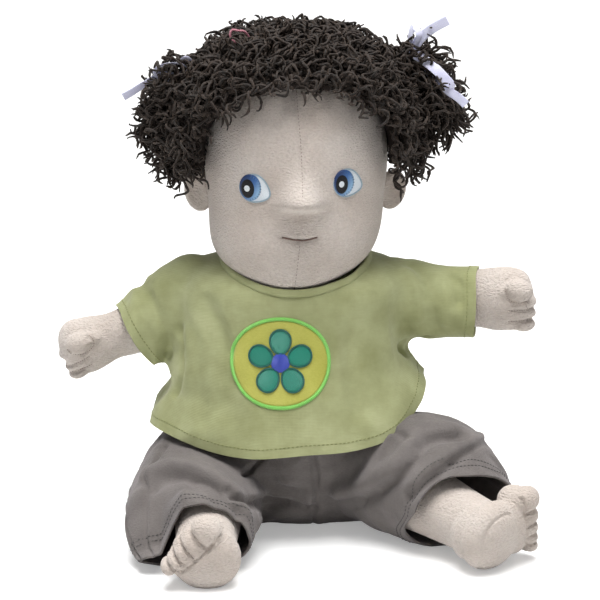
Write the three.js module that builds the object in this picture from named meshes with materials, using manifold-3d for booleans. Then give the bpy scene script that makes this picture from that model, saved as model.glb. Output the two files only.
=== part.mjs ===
// Sitting cloth doll with curly yarn hair, a loose shirt and baggy trousers.
// Millimetres, +Z up. The doll faces -Y, and its seat rests on the plane z = 0 at the origin.
// The doll's right side is at -X. Every piece is a closed solid of its own.

import * as THREE from 'three';
import { mergeVertices } from 'three/addons/utils/BufferGeometryUtils.js';
import Module from 'manifold-3d';

const wasm = await Module();
wasm.setup();

// Driving dimensions

const fitGap = 0.35; // between pieces that touch
const clothWall = 1.8;
const hipSpread = 46; // from the middle to each hip pivot
const hipSetback = -22;
const hipHeight = 33;
const thighRadius = 31.4;
const ankleRadius = 14;
const legLength = 113; // hip pivot to sole
const soleLength = 44;
const soleWidth = 37;
const soleThickness = 30;
const trouserRimRadius = 34; // around the hip pivot
const trouserLegLength = 90;
const trouserWaistHeight = 86;
const seatEase = 5.5; // how far the baggy seat stands off the torso at its fullest
const seatFoldDepth = 1.2;
const waistbandHeight = 9;
const waistbandThickness = 2.8;
const torsoHeight = 141;
const shoulderSpread = 60;
const shoulderHeight = 132;
const shoulderRadius = 22;
const wristRadius = 13.5;
const armLength = 84; // shoulder pivot to finger tips
const sleeveRadius = 25.5;
const sleeveLength = 50;
const shirtHemHeight = 61.5;
const shirtNeckHeight = 161;
const neckbandWidth = 3.6;
const neckbandThickness = 1.2;
const neckbandSeat = 0.75; // clears the folds of the strip it lies on
const neckHeight = 150; // height of the nodding pivot
const neckRadius = 17;
const neckLength = 26;
const headShiftX = 4;
const headHeight = 132;
const headWidth = 108;
const headDepth = 110;
const noseLength = 8;
const noseWidth = 20;
const noseHeight = 53;
const earLength = 24;
const earWidth = 14;
const earThickness = 10;
const earHeight = 47; // above the nodding pivot
const earSlant = 0.22; // how far the tops lean outwards, per unit of height
const eyeSpacing = 52.6;
const eyeHeight = 60; // above the nodding pivot
const eyeTilt = 2; // how much higher the doll's left eye sits
const eyeSize = 17;
const gazeShift = 2.6; // both irises sit this far to the doll's right
const irisRadius = 5.6;
const pupilRadius = 3.4;
const glintRadius = 1.3;
const mouthHeight = 31;
const mouthWidth = 20;
const mouthDip = 2.8;
const mouthThread = 1.1;
const threadThickness = 0.7;
const hairWidth = 152;
const hairHeight = 140;
const hairDepth = 144;
const hairMiddle = 78; // above the nodding pivot
const hairSetback = 8;
const lumpDepth = 2.6;
const curlDepth = 2; // of the smaller lumps over the large ones
const bunchRadius = 23;
const bunchSpread = 71.5; // from the middle of the head to each bunch
const bunchTall = 29; // from the middle of a bunch to its top
const bunchHeight = 86;
const bunchTilt = 6; // how much higher the left bunch sits, and lower the right one
const bowSpread = 66;
const bowHeight = 120.5;
const bowTilt = 3.5;
const ribbonWidth = 6;
const ribbonThickness = 0.8;
const bowLoopLength = 17;
const bowTailLength = 30;
const knotRadius = 4.2;
const elasticThickness = 1.4;
const elasticLoopWidth = 12;
const patchWidth = 58;
const patchHeight = 51;
const patchBorder = 2.6;
const patchThickness = 1;
const petalCount = 5;
const petalLength = 13;
const flowerCentreRadius = 5.5;
const pouchRadius = 22;
const pouchHeight = 22;
const closingSlot = 26;
const tapeWidth = 13;
const tapeLength = 30;
const tapeBottom = 112;
const tapeThickness = 1.2;

// Toes from the big toe to the little one, each at its bearing round the sole
const toes = [
  { radius: 8.2, bearing: 34 },
  { radius: 5.8, bearing: 1 },
  { radius: 5.2, bearing: -24 },
  { radius: 4.8, bearing: -47 },
  { radius: 4.4, bearing: -69 },
];

const feltSides = 18; // corners around a stuffed form
const clothSides = 18; // corners around a garment's tube
const shirtSides = 26;
const socketSides = 12;
const socketRows = 8;

const pose = {
  headTurn: 3,
  rightArm: { drop: 32, forward: 6, lowering: 5, raising: 60 },
  leftArm: { drop: 1, forward: 6, lowering: 25, raising: 32 },
  rightLeg: { splay: 1, roll: 45 },
  leftLeg: { splay: 41, roll: 77 },
};

// Looks

const skinLook = { color: '#b9aca4', roughness: 0.95, metalness: 0 };
const hairLook = { color: '#40342d', roughness: 0.9, metalness: 0 };
const shirtLook = { color: '#9fa46c', roughness: 0.9, metalness: 0 };
const trouserLook = { color: '#6f6966', roughness: 0.95, metalness: 0 };
const satinLook = { color: '#c6c0ea', roughness: 0.35, metalness: 0 };
const elasticLook = { color: '#d98a9a', roughness: 0.6, metalness: 0 };
const stitchLook = { color: '#4a2f26', roughness: 0.7, metalness: 0 };
const eyeWhiteLook = { color: '#e9eef2', roughness: 0.5, metalness: 0 };
const irisLook = { color: '#4f86c4', roughness: 0.45, metalness: 0 };
const pupilLook = { color: '#15171c', roughness: 0.45, metalness: 0 };
const patchLook = { color: '#b2b45c', roughness: 0.85, metalness: 0 };
const borderLook = { color: '#86cf63', roughness: 0.45, metalness: 0 };
const petalLook = { color: '#1d7d6b', roughness: 0.5, metalness: 0 };
const blueLook = { color: '#2c3f9a', roughness: 0.5, metalness: 0 };
const tapeLook = { color: '#e6e4dc', roughness: 0.9, metalness: 0 };
const pouchLook = { color: '#d8d3c6', roughness: 0.9, metalness: 0 };

// Solids and booleans

function solidOf(geometry) {
  const plain = geometry.clone();
  plain.deleteAttribute('normal');
  plain.deleteAttribute('uv');
  const merged = mergeVertices(plain, 1e-4);
  const vertProperties = new Float32Array(merged.attributes.position.array);
  const triVerts = new Uint32Array(merged.index.array);
  return new wasm.Manifold(new wasm.Mesh({ numProp: 3, vertProperties, triVerts }));
}

function geometryOf(solid) {
  const mesh = solid.getMesh();
  const geometry = new THREE.BufferGeometry();
  geometry.setAttribute('position', new THREE.BufferAttribute(mesh.vertProperties, 3));
  geometry.setIndex(new THREE.BufferAttribute(mesh.triVerts, 1));
  return geometry;
}

function join(solids) {
  return solids.reduce((whole, next) => whole.add(next));
}

function cutBy(solid, tools) {
  return tools.reduce((rest, tool) => rest.subtract(tool), solid);
}

// Moves every corner of a closed geometry outwards along its normal.
function inflated(geometry, distance) {
  const plain = geometry.clone();
  plain.deleteAttribute('normal');
  plain.deleteAttribute('uv');
  const merged = mergeVertices(plain, 1e-4);
  merged.computeVertexNormals();
  const at = merged.attributes.position;
  const normal = merged.attributes.normal;
  for (let i = 0; i < at.count; i += 1) {
    at.setXYZ(
      i,
      at.getX(i) + normal.getX(i) * distance,
      at.getY(i) + normal.getY(i) * distance,
      at.getZ(i) + normal.getZ(i) * distance,
    );
  }
  merged.deleteAttribute('normal');
  return merged;
}

// Value of a smooth curve through the listed values, at t from 0 to 1.
function through(values, t) {
  const place = t * (values.length - 1);
  const i = Math.min(Math.floor(place), values.length - 2);
  const f = place - i;
  const before = values[Math.max(i - 1, 0)];
  const after = values[Math.min(i + 2, values.length - 1)];
  const slopeIn = (values[i + 1] - before) / 2;
  const slopeOut = (after - values[i]) / 2;
  const f2 = f * f;
  const f3 = f2 * f;
  return values[i] * (2 * f3 - 3 * f2 + 1) + values[i + 1] * (3 * f2 - 2 * f3)
    + slopeIn * (f3 - 2 * f2 + f) + slopeOut * (f3 - f2);
}

// Turns a closed geometry's faces outwards, whichever way its rings ran.
function facingOut(geometry) {
  const at = geometry.attributes.position;
  const faces = geometry.index.array;
  const corner = (i) => new THREE.Vector3().fromBufferAttribute(at, faces[i]);
  let volume = 0;
  for (let i = 0; i < faces.length; i += 3) {
    volume += corner(i).dot(corner(i + 1).cross(corner(i + 2)));
  }
  if (volume < 0) {
    for (let i = 0; i < faces.length; i += 3) {
      const kept = faces[i + 1];
      faces[i + 1] = faces[i + 2];
      faces[i + 2] = kept;
    }
  }
  return geometry;
}

// Closed surface through rings of corners; a capped end closes on the ring's middle.
function skinned(rings, { loop = false } = {}) {
  const sides = rings[0].length;
  const corners = rings.flat();
  const faces = [];
  const last = loop ? rings.length : rings.length - 1;
  for (let r = 0; r < last; r += 1) {
    const here = r * sides;
    const next = ((r + 1) % rings.length) * sides;
    for (let s = 0; s < sides; s += 1) {
      const t = (s + 1) % sides;
      faces.push(here + s, here + t, next + t);
      faces.push(here + s, next + t, next + s);
    }
  }
  if (!loop) {
    for (const [ring, flip] of [[0, true], [rings.length - 1, false]]) {
      const middle = corners.length;
      const centre = new THREE.Vector3();
      rings[ring].forEach((p) => centre.addScaledVector(p, 1 / sides));
      corners.push(centre);
      for (let s = 0; s < sides; s += 1) {
        const a = ring * sides + s;
        const b = ring * sides + ((s + 1) % sides);
        faces.push(...(flip ? [b, a, middle] : [a, b, middle]));
      }
    }
  }
  const geometry = new THREE.BufferGeometry();
  const places = new Float32Array(corners.flatMap((p) => [p.x, p.y, p.z]));
  geometry.setAttribute('position', new THREE.BufferAttribute(places, 3));
  geometry.setIndex(faces);
  return facingOut(geometry);
}

// Ring reach at an angle, for a superellipse with its own front and back depth.
function reachAt(angle, side, front, back, squareness) {
  const c = Math.abs(Math.cos(angle)) / side;
  const s = Math.abs(Math.sin(angle)) / (Math.sin(angle) < 0 ? front : back);
  return (c ** squareness + s ** squareness) ** (-1 / squareness);
}

// Upright form from listed heights, half widths and depths. Heights may differ at the front,
// the back, the left and the right, which slants a hem or a neckline.
function uprightRings(profile, options) {
  const { steps, sides, squareness = 2, grow = 0, ripple = () => 0, from = 0, to = 1 } = options;
  const rings = [];
  for (let i = 0; i <= steps; i += 1) {
    const t = from + ((to - from) * i) / steps;
    const side = through(profile.side, t) + grow;
    const front = through(profile.front, t) + grow;
    const back = through(profile.back, t) + grow;
    const level = through(profile.height, t);
    const ring = [];
    for (let s = 0; s < sides; s += 1) {
      const angle = (2 * Math.PI * s) / sides;
      const c = Math.cos(angle);
      const d = Math.sin(angle);
      const reach = reachAt(angle, side, front, back, squareness) + ripple(t, angle);
      const lift = profile.lift ? profile.lift(t, c, d) : 0;
      const middle = through(profile.middle ?? [0, 0], t);
      ring.push(new THREE.Vector3(c * reach, d * reach + middle, level + lift));
    }
    rings.push(ring);
  }
  return rings;
}

// A limb's own frame: "along" runs down the limb, "out" and "up" across it.
function limbFrame(pivot, along, upHint) {
  const a = along.clone().normalize();
  const out = new THREE.Vector3().crossVectors(a, upHint).normalize();
  const up = new THREE.Vector3().crossVectors(out, a).normalize();
  return { pivot, a, out, up };
}

function placeIn(frame, along, out, up) {
  return frame.pivot.clone()
    .addScaledVector(frame.a, along)
    .addScaledVector(frame.out, out)
    .addScaledVector(frame.up, up);
}

// Form along a limb from listed distances, half widths and half heights.
function limbRings(frame, profile, { steps, sides, grow = 0, from = 0, to = 1, ripple = () => 0 }) {
  const rings = [];
  for (let i = 0; i <= steps; i += 1) {
    const t = from + ((to - from) * i) / steps;
    const wide = through(profile.wide, t) + grow;
    const high = through(profile.high, t) + grow;
    const outwards = through(profile.out ?? [0, 0], t);
    const upwards = through(profile.up ?? [0, 0], t);
    const ring = [];
    for (let s = 0; s < sides; s += 1) {
      const angle = (2 * Math.PI * s) / sides;
      const extra = ripple(t, angle);
      ring.push(placeIn(
        frame,
        through(profile.along, t),
        outwards + Math.cos(angle) * (wide + extra),
        upwards - Math.sin(angle) * (high + extra),
      ));
    }
    rings.push(ring);
  }
  return rings;
}

// Rounded lobe: a sphere stretched along the three given directions.
function lobe(centre, axes, radii, widthSegments, heightSegments) {
  const sphere = new THREE.SphereGeometry(1, widthSegments, heightSegments);
  const basis = new THREE.Matrix4().makeBasis(
    axes[0].clone().multiplyScalar(radii[0]),
    axes[1].clone().multiplyScalar(radii[1]),
    axes[2].clone().multiplyScalar(radii[2]),
  );
  basis.setPosition(centre);
  return facingOut(sphere.applyMatrix4(basis));
}

const axisX = new THREE.Vector3(1, 0, 0);
const axisY = new THREE.Vector3(0, 1, 0);
const axisZ = new THREE.Vector3(0, 0, 1);
const worldAxes = [axisX, axisY, axisZ];

function ball(centre, radius, widthSegments, heightSegments) {
  return lobe(centre, worldAxes, [radius, radius, radius], widthSegments, heightSegments);
}

// A faceted ball made so much larger that its flats clear a round of the given radius.
function socketBall(centre, radius) {
  const allowance = 1 / (Math.cos(Math.PI / socketSides) * Math.cos(Math.PI / (2 * socketRows)));
  return solidOf(ball(centre, radius * allowance, socketSides, socketRows));
}

function blockOver(low, high) {
  const size = high.clone().sub(low);
  const box = new THREE.BoxGeometry(size.x, size.y, size.z);
  const middle = low.clone().add(high).multiplyScalar(0.5);
  return solidOf(box.translate(middle.x, middle.y, middle.z));
}

const farAway = 400;
function onlyBetween(low, high) {
  return blockOver(new THREE.Vector3(-farAway, -farAway, low), new THREE.Vector3(farAway, farAway, high));
}

function onlyAbove(level) {
  return onlyBetween(level, farAway);
}

// Outline pushed along Y, used to cut flat embroidery out of a curved layer.
function prism(shape, depth, curveSegments) {
  const block = new THREE.ExtrudeGeometry(shape, { depth, bevelEnabled: false, curveSegments });
  return block.rotateX(Math.PI / 2);
}

// The doll's frame and its moving groups

const doll = new THREE.Group();
doll.name = 'doll';

function movingGroup(parent, pivot) {
  const group = new THREE.Group();
  const parentPivot = parent.userData.pivot ?? new THREE.Vector3();
  group.userData.pivot = pivot.clone();
  group.position.copy(pivot).sub(parentPivot);
  parent.add(group);
  return group;
}

// Adds a solid, modelled in the doll's frame, to a group as a named piece.
function addPiece(group, name, solid, look) {
  const pivot = group.userData.pivot ?? new THREE.Vector3();
  const geometry = geometryOf(solid).translate(-pivot.x, -pivot.y, -pivot.z);
  const mesh = new THREE.Mesh(geometry, new THREE.MeshStandardMaterial(look));
  mesh.name = name;
  group.add(mesh);
}

const sides = [
  { name: 'right', sign: -1, arm: pose.rightArm, leg: pose.rightLeg },
  { name: 'left', sign: 1, arm: pose.leftArm, leg: pose.leftLeg },
];

// Torso: a stuffed pear with a flat seat

const wallAndGap = clothWall + fitGap;
const belowSeat = -2; // the form runs on below the seat, where it is cut flat
const torsoProfile = {
  height: [belowSeat, 12, 32, 58, 84, 108, 126, 137, torsoHeight],
  side: [54, 65, 71, 68, 60, 53, 49, 40, 26],
  front: [30, 40, 46, 50, 49, 43, 36, 30, 22],
  back: [42, 51, 55, 52, 46, 40, 36, 31, 22],
};
const torsoSteps = 9;
const torsoRings = uprightRings(torsoProfile, { steps: torsoSteps, sides: feltSides });
const torsoGeometry = skinned(torsoRings);

const neckPivot = new THREE.Vector3(headShiftX, 4, neckHeight);

// Neck: a stuffed stub with a rounded foot in the torso and a rounded top in the head.
function neckGeometry(grow) {
  const points = [];
  const rounds = 4;
  const radius = neckRadius + grow;
  for (let i = 0; i <= rounds; i += 1) {
    const angle = -Math.PI / 2 + (i / rounds) * (Math.PI / 2);
    points.push(new THREE.Vector2(Math.cos(angle) * radius, Math.sin(angle) * radius));
  }
  for (let i = 0; i <= rounds; i += 1) {
    const angle = (i / rounds) * (Math.PI / 2);
    points.push(new THREE.Vector2(
      Math.cos(angle) * radius,
      neckLength - neckRadius * 0.5 + Math.sin(angle) * radius * 0.5,
    ));
  }
  const closed = points.map((p, i) => (i === 0 || i === points.length - 1 ? new THREE.Vector2(0, p.y) : p));
  return new THREE.LatheGeometry(closed, 16).rotateX(Math.PI / 2)
    .translate(neckPivot.x, neckPivot.y, neckPivot.z);
}

function tilted(geometry, pivot, axis, degrees) {
  const turn = new THREE.Matrix4().makeRotationAxis(axis, THREE.MathUtils.degToRad(degrees));
  return geometry.clone()
    .translate(-pivot.x, -pivot.y, -pivot.z)
    .applyMatrix4(turn)
    .translate(pivot.x, pivot.y, pivot.z);
}

const nodForward = 3;
const turnLimit = 28;
// The neck's foot is a ball, so its socket is clear at every angle of the nod.
const neckSocket = socketBall(neckPivot, neckRadius + fitGap);

// Arms

// Distances back from a joint's pivot, and reaches, round a ball of radius 1
const shoulderBall = [[0.99, 0.12], [0.82, 0.56], [0.4, 0.9], [-0.2, 0.94]];

const armProfile = {
  along: [...shoulderBall.map((k) => -k[0] * shoulderRadius), 26, 38, 48, 58, 69, 79, armLength],
  wide: [...shoulderBall.map((k) => k[1] * shoulderRadius), 17, 14.6, wristRadius, 14.4, 15.6, 11, 1],
  high: [...shoulderBall.map((k) => k[1] * shoulderRadius), 17, 14.6, wristRadius, 15, 16.5, 12, 1],
};

function armFrame(side) {
  const drop = THREE.MathUtils.degToRad(side.arm.drop);
  const forward = THREE.MathUtils.degToRad(side.arm.forward);
  const along = new THREE.Vector3(
    side.sign * Math.cos(drop) * Math.cos(forward),
    -Math.sin(forward),
    -Math.sin(drop),
  );
  const pivot = new THREE.Vector3(side.sign * shoulderSpread, 0, shoulderHeight);
  return limbFrame(pivot, along, axisZ.clone().multiplyScalar(side.sign));
}

// "out" points to the back on both arms once the frame's up follows the doll's up.
function armParts(side) {
  const frame = armFrame(side);
  const up = frame.up.z < 0 ? frame.up.clone().negate() : frame.up.clone();
  const front = new THREE.Vector3().crossVectors(frame.a, up).normalize();
  if (front.y > 0) front.negate();
  const at = (along, ahead, above) => frame.pivot.clone()
    .addScaledVector(frame.a, along)
    .addScaledVector(front, ahead)
    .addScaledVector(up, above);
  const axes = [frame.a, up, new THREE.Vector3().crossVectors(frame.a, up)];
  const body = skinned(limbRings(frame, armProfile, { steps: 11, sides: 12 }));
  const thumb = lobe(at(armLength * 0.8, 12.5, 5), axes, [10.5, 7.5, 6.5], 8, 5);
  const parts = [body, thumb];
  const fingerAbove = [-2.5, -7.5, -12];
  fingerAbove.forEach((above, i) => {
    parts.push(lobe(at(armLength - 13 - i * 3, 5, above), axes, [12.5, 4.2, 9], 8, 5));
  });
  return parts;
}

// Sleeve: a short tube whose inner rim lies on a sphere round the shoulder pivot.
const sleeveBall = [[0.26, 0.965], [-0.2, 0.98], [-0.56, 0.86]];
const sleeveProfile = {
  along: [...sleeveBall.map((k) => -k[0] * sleeveRadius), 24, 34, 43, sleeveLength],
  wide: [...sleeveBall.map((k) => k[1] * sleeveRadius), 20.6, 20.8, 21.2, 20.8],
  high: [...sleeveBall.map((k) => k[1] * sleeveRadius), 21.4, 22.4, 23.2, 22.6],
  up: [0, 0, 0, 0, -0.6, -1.4, -2.2],
};

function sleeveRings(side, wall) {
  const folds = (t, angle) => 0.9 * Math.sin(3 * angle + 5 * t + side.sign) * Math.sin(Math.PI * t) ** 2;
  return limbRings(armFrame(side), sleeveProfile, {
    steps: 6,
    sides: 16,
    grow: -wall,
    ripple: folds,
  });
}

function tubeOf(outer, inner) {
  return skinned([...outer, ...inner.slice().reverse()], { loop: true });
}

// Legs

const thighBall = [[0.99, 0.12], [0.82, 0.56], [0.4, 0.9], [-0.2, 0.92]];
const shankLevels = [0.265, 0.46, 0.637, 0.761, 0.85].map((k) => k * legLength);
const shankReaches = [
  ...[0.72, 0.592, 0.49].map((k) => k * thighRadius),
  ...[1, 1.043].map((k) => k * ankleRadius),
];

const legProfile = {
  along: [...thighBall.map((k) => -k[0] * thighRadius), ...shankLevels],
  wide: [...thighBall.map((k) => k[1] * thighRadius), ...shankReaches],
  high: [...thighBall.map((k) => k[1] * thighRadius), ...shankReaches],
};

function legDirections(side) {
  const splay = THREE.MathUtils.degToRad(side.leg.splay);
  const roll = THREE.MathUtils.degToRad(side.leg.roll);
  const pivot = new THREE.Vector3(side.sign * hipSpread, hipSetback, hipHeight);
  const ahead = new THREE.Vector3(side.sign * Math.sin(splay), -Math.cos(splay), 0);
  const outward = new THREE.Vector3(side.sign * Math.cos(splay), Math.sin(splay), 0);
  const footReach = legLength - soleThickness / 2;
  const footHeight = 0.5 * Math.hypot(soleLength * Math.cos(roll), soleWidth * Math.sin(roll)) - 0.5;
  const slope = (hipHeight - footHeight) / footReach;
  const along = ahead.clone().addScaledVector(axisZ, -slope).normalize();
  const toes = axisZ.clone().multiplyScalar(Math.cos(roll)).addScaledVector(outward, Math.sin(roll));
  toes.addScaledVector(along, -toes.dot(along)).normalize();
  const inner = outward.clone().multiplyScalar(-Math.cos(roll)).addScaledVector(axisZ, Math.sin(roll));
  inner.addScaledVector(along, -inner.dot(along)).addScaledVector(toes, -inner.dot(toes)).normalize();
  return { pivot, along, toes, inner, ahead, outward };
}

function legFrame(side) {
  const way = legDirections(side);
  return limbFrame(way.pivot, way.along, axisZ);
}

// The foot: a rounded block with five toes in an arc, the big toe on the inner side.
function footParts(side) {
  const way = legDirections(side);
  const at = (along, ahead, inwards) => way.pivot.clone()
    .addScaledVector(way.along, along)
    .addScaledVector(way.toes, ahead)
    .addScaledVector(way.inner, inwards);
  const axes = [way.toes, way.inner, new THREE.Vector3().crossVectors(way.toes, way.inner)];
  const middle = legLength - soleThickness / 2;
  const parts = [lobe(at(middle, 0, 0), axes, [soleLength / 2, soleWidth / 2, soleThickness / 2], 12, 8)];
  toes.forEach(({ radius, bearing }) => {
    const angle = THREE.MathUtils.degToRad(bearing);
    const reach = (soleLength / 2 - 1) * Math.cos(angle);
    const across = (soleWidth / 2 + 0.5) * Math.sin(angle);
    parts.push(lobe(at(middle + 3, reach, across), axes, [radius * 1.15, radius, radius * 1.3], 7, 5));
  });
  return parts;
}

function legSolid(side) {
  const shank = skinned(limbRings(legFrame(side), legProfile, { steps: 9, sides: 14 }));
  return join([shank, ...footParts(side)].map(solidOf)).intersect(onlyAbove(0));
}

// Trouser leg: a baggy tube whose rim lies on a sphere round the hip pivot.
const trouserBall = [[0.87, 0.49], [0.5, 0.866], [0.05, 0.985]];
const trouserProfile = {
  along: [...trouserBall.map((k) => -k[0] * trouserRimRadius), 18, 36, 54, 72, 84, trouserLegLength],
  wide: [...trouserBall.map((k) => k[1] * trouserRimRadius), 31.5, 33, 35, 35, 31, 31],
  high: [...trouserBall.map((k) => k[1] * trouserRimRadius), 30.4, 29, 27.5, 25, 21.5, 21.5],
  out: [0, 0, 0, 0, 2, 5, 7.5, 6, 5],
  up: [0, 0, 0, 0, 0.5, 1, 1, 0, 0],
};

function trouserLegRings(side, wall, floorLevel) {
  const way = legDirections(side);
  const across = way.outward;
  const upwards = new THREE.Vector3().crossVectors(across, way.along).multiplyScalar(side.sign).normalize();
  const up = upwards.z < 0 ? upwards.negate() : upwards;
  const out = new THREE.Vector3().crossVectors(way.along, up).normalize();
  const frame = { pivot: way.pivot, a: way.along, out, up };
  const turned = out.dot(across) < 0 ? -1 : 1;
  const profile = { ...trouserProfile, out: trouserProfile.out.map((value) => value * turned) };
  const folds = (t, angle) => {
    const middleOnly = Math.sin(Math.PI * t) ** 2;
    const round = 1.7 * Math.sin(2 * Math.PI * 3.2 * t + 1.3 * Math.cos(angle) + side.sign);
    return middleOnly * round * (0.6 + 0.4 * Math.cos(2 * angle));
  };
  const rings = limbRings(frame, profile, { steps: 10, sides: clothSides, grow: -wall, ripple: folds });
  rings.forEach((ring) => ring.forEach((p) => {
    p.z = Math.max(p.z, floorLevel);
  }));
  return rings;
}

// What the lower body gives up for the legs, inset by a wall: a ball round each hip, the way down
// for a lowered leg, and the room beside and before the strip between the legs.
const crotchHalfWidth = hipSpread - trouserRimRadius - 2.5;
const crotchReach = -36;
const lapHeight = hipHeight + trouserRimRadius - 2;

function legCuts(inset) {
  const radius = trouserRimRadius + fitGap + inset;
  return sides.flatMap((side) => {
    const pivot = legDirections(side).pivot;
    const shaftRadius = radius / Math.cos(Math.PI / socketSides);
    const shaft = new THREE.CylinderGeometry(shaftRadius, shaftRadius, hipHeight + 2, socketSides)
      .rotateX(Math.PI / 2)
      .translate(pivot.x, pivot.y, (hipHeight - 2) / 2);
    const inner = side.sign * (crotchHalfWidth - inset);
    const outer = side.sign * farAway;
    const beside = blockOver(
      new THREE.Vector3(Math.min(inner, outer), -farAway, -1),
      new THREE.Vector3(Math.max(inner, outer), hipSetback, lapHeight + inset),
    );
    return [socketBall(pivot, radius), solidOf(shaft), beside];
  }).concat(blockOver(
    new THREE.Vector3(-farAway, -farAway, -1),
    new THREE.Vector3(farAway, crotchReach + inset, lapHeight + inset),
  ));
}

const shoulderSockets = sides.map((side) => socketBall(armFrame(side).pivot, sleeveRadius + fitGap));

// Pouch of plastic granules that weighs the seat, in a pocket that opens at the closing seam.
const pouchCentre = new THREE.Vector3(0, 26, 34);
const pouchRadii = [pouchRadius, pouchRadius * 0.75, pouchHeight];
const pouchGeometry = lobe(pouchCentre, worldAxes, pouchRadii, 12, 8);
const closingSeam = blockOver(
  new THREE.Vector3(-0.6, pouchCentre.y, pouchCentre.z + 4),
  new THREE.Vector3(0.6, farAway, pouchCentre.z + 4 + closingSlot),
);
const pouchPocket = solidOf(inflated(pouchGeometry, fitGap)).add(closingSeam);
const torso = cutBy(
  solidOf(torsoGeometry).intersect(onlyAbove(wallAndGap)),
  [...legCuts(wallAndGap), ...shoulderSockets, neckSocket, pouchPocket],
);

// Trouser seat: a baggy wall round the torso's lower half, drawn in below and at the waist
const grownTorso = (by) => solidOf(inflated(torsoGeometry, by));
const easeEnd = 0.54; // share of the torso's levels at which the cloth meets it again

function seatForm(grow) {
  const ease = (t, angle) => {
    const fullness = Math.sin(Math.PI * Math.min(t / easeEnd, 1)) ** 0.7;
    return fullness * (seatEase + seatFoldDepth * Math.sin(3 * angle + 12 * t));
  };
  return solidOf(skinned(uprightRings(torsoProfile, {
    steps: torsoSteps,
    sides: feltSides,
    grow,
    ripple: ease,
  })));
}

const seatInside = cutBy(seatForm(fitGap).intersect(onlyAbove(clothWall)), legCuts(clothWall));
const trouserSeat = cutBy(seatForm(fitGap + clothWall), legCuts(0))
  .intersect(onlyBetween(0, trouserWaistHeight))
  .subtract(seatInside);

const waistbandBottom = trouserWaistHeight + fitGap;
const waistband = grownTorso(fitGap + waistbandThickness)
  .subtract(grownTorso(fitGap))
  .intersect(onlyBetween(waistbandBottom, waistbandBottom + waistbandHeight));

// Shirt: a wide-necked body, open at the hem, the neck and the armholes

const shirtProfile = {
  height: [shirtHemHeight, 82, 104, 126, 144, 153, shirtNeckHeight],
  side: [84.6, 76, 71, 69.5, 69, 65, 51],
  front: [77, 69, 60, 54, 51, 50.5, 50.5],
  back: [68, 64, 58, 53, 50, 47, 44],
  lift: (t, c, d) => {
    const frontDip = (d < 0 ? -15 : -7) * d * d * t ** 1.5;
    const hemSlant = (1 - t) ** 3 * (d < 0 ? 0 : -6 * d * d);
    const sideSlant = (1 - t) ** 3 * (c < 0 ? -8 * c ** 4 : 4 * c * c);
    return frontDip + hemSlant + sideSlant;
  },
};
const shirtSteps = 7;
const roundedSquareness = 2.2; // 2 would be an ellipse

function shirtRipple(t, angle) {
  const nearHem = (1 - t) ** 2;
  return 2.2 * nearHem * Math.cos(7 * angle + 0.6) * (0.7 + 0.3 * Math.cos(angle));
}

function shirtRings(grow, from = 0, to = 1) {
  return uprightRings(shirtProfile, {
    steps: shirtSteps,
    sides: shirtSides,
    squareness: roundedSquareness,
    grow,
    from,
    to,
    ripple: shirtRipple,
  });
}

const shirtTube = solidOf(tubeOf(shirtRings(0), shirtRings(-clothWall)));
// Room in the shirt for each sleeve at rest, lowered and raised as far as it goes.
const sleeveRooms = sides.flatMap((side) => [0, side.arm.lowering, -side.arm.raising].map((angle) => {
  const form = skinned(limbRings(armFrame(side), sleeveProfile, { steps: 3, sides: 12, grow: 1.6 }));
  return solidOf(tilted(form, armFrame(side).pivot, axisY, side.sign * angle));
}));
const shirtBody = cutBy(shirtTube, [...shoulderSockets, ...sleeveRooms]);

// Neckband: a narrow rib that lies on the shirt's topmost strip
function neckbandTube() {
  const lines = [
    [neckbandSeat, neckbandWidth],
    [neckbandSeat + neckbandThickness, neckbandWidth],
    [neckbandSeat + neckbandThickness, 0],
    [neckbandSeat, 0],
  ];
  const rings = lines.map(([above, down]) => {
    const [low, top] = uprightRings(shirtProfile, {
      steps: 1,
      sides: shirtSides,
      squareness: roundedSquareness,
      grow: above,
      from: 1 - 1 / shirtSteps,
      ripple: shirtRipple,
    });
    return top.map((p, i) => {
      const share = Math.min(down / p.distanceTo(low[i]), 1);
      return p.clone().lerp(low[i], share).addScaledVector(axisZ, above);
    });
  });
  return skinned(rings, { loop: true });
}

// A closed layer lying on the shirt's front, from which flat appliqué pieces are cut.
function shirtLayer(inner, outer) {
  const grown = (by) => solidOf(skinned(shirtRings(by)));
  return grown(outer).subtract(grown(inner));
}

const patchCentre = new THREE.Vector2(-4.7, 108.7);

function roundShape(centre, halfWidth, halfHeight) {
  const shape = new THREE.Shape();
  shape.absellipse(centre.x, centre.y, halfWidth, halfHeight, 0, 2 * Math.PI, false, 0);
  return shape;
}

const frontHalf = blockOver(
  new THREE.Vector3(-farAway, -farAway, -1),
  new THREE.Vector3(farAway, 0, farAway),
);

function frontPrism(shape) {
  return solidOf(prism(shape, 2 * farAway, 8).translate(0, farAway, 0)).intersect(frontHalf);
}

function flowerShape(centre) {
  const shape = new THREE.Shape();
  const corners = 8;
  const total = petalCount * corners;
  for (let i = 0; i < total; i += 1) {
    const angle = (2 * Math.PI * i) / total + Math.PI / 2;
    const swell = Math.abs(Math.cos((petalCount * (angle - Math.PI / 2)) / 2)) ** 0.6;
    const reach = flowerCentreRadius + 2 + (petalLength - 2) * swell;
    const x = centre.x + Math.cos(angle) * reach;
    const y = centre.y + Math.sin(angle) * reach;
    shape[i === 0 ? 'moveTo' : 'lineTo'](x, y);
  }
  shape.closePath();
  return shape;
}

// Neck and head groups

const neckGroup = movingGroup(doll, neckPivot);
const headGroup = movingGroup(neckGroup, neckPivot);

// The head is modelled facing -Y about its own origin and then turned a little to its left.
function asWorn(geometry) {
  return geometry
    .rotateZ(THREE.MathUtils.degToRad(pose.headTurn))
    .translate(neckPivot.x, 0, neckPivot.z);
}

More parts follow.
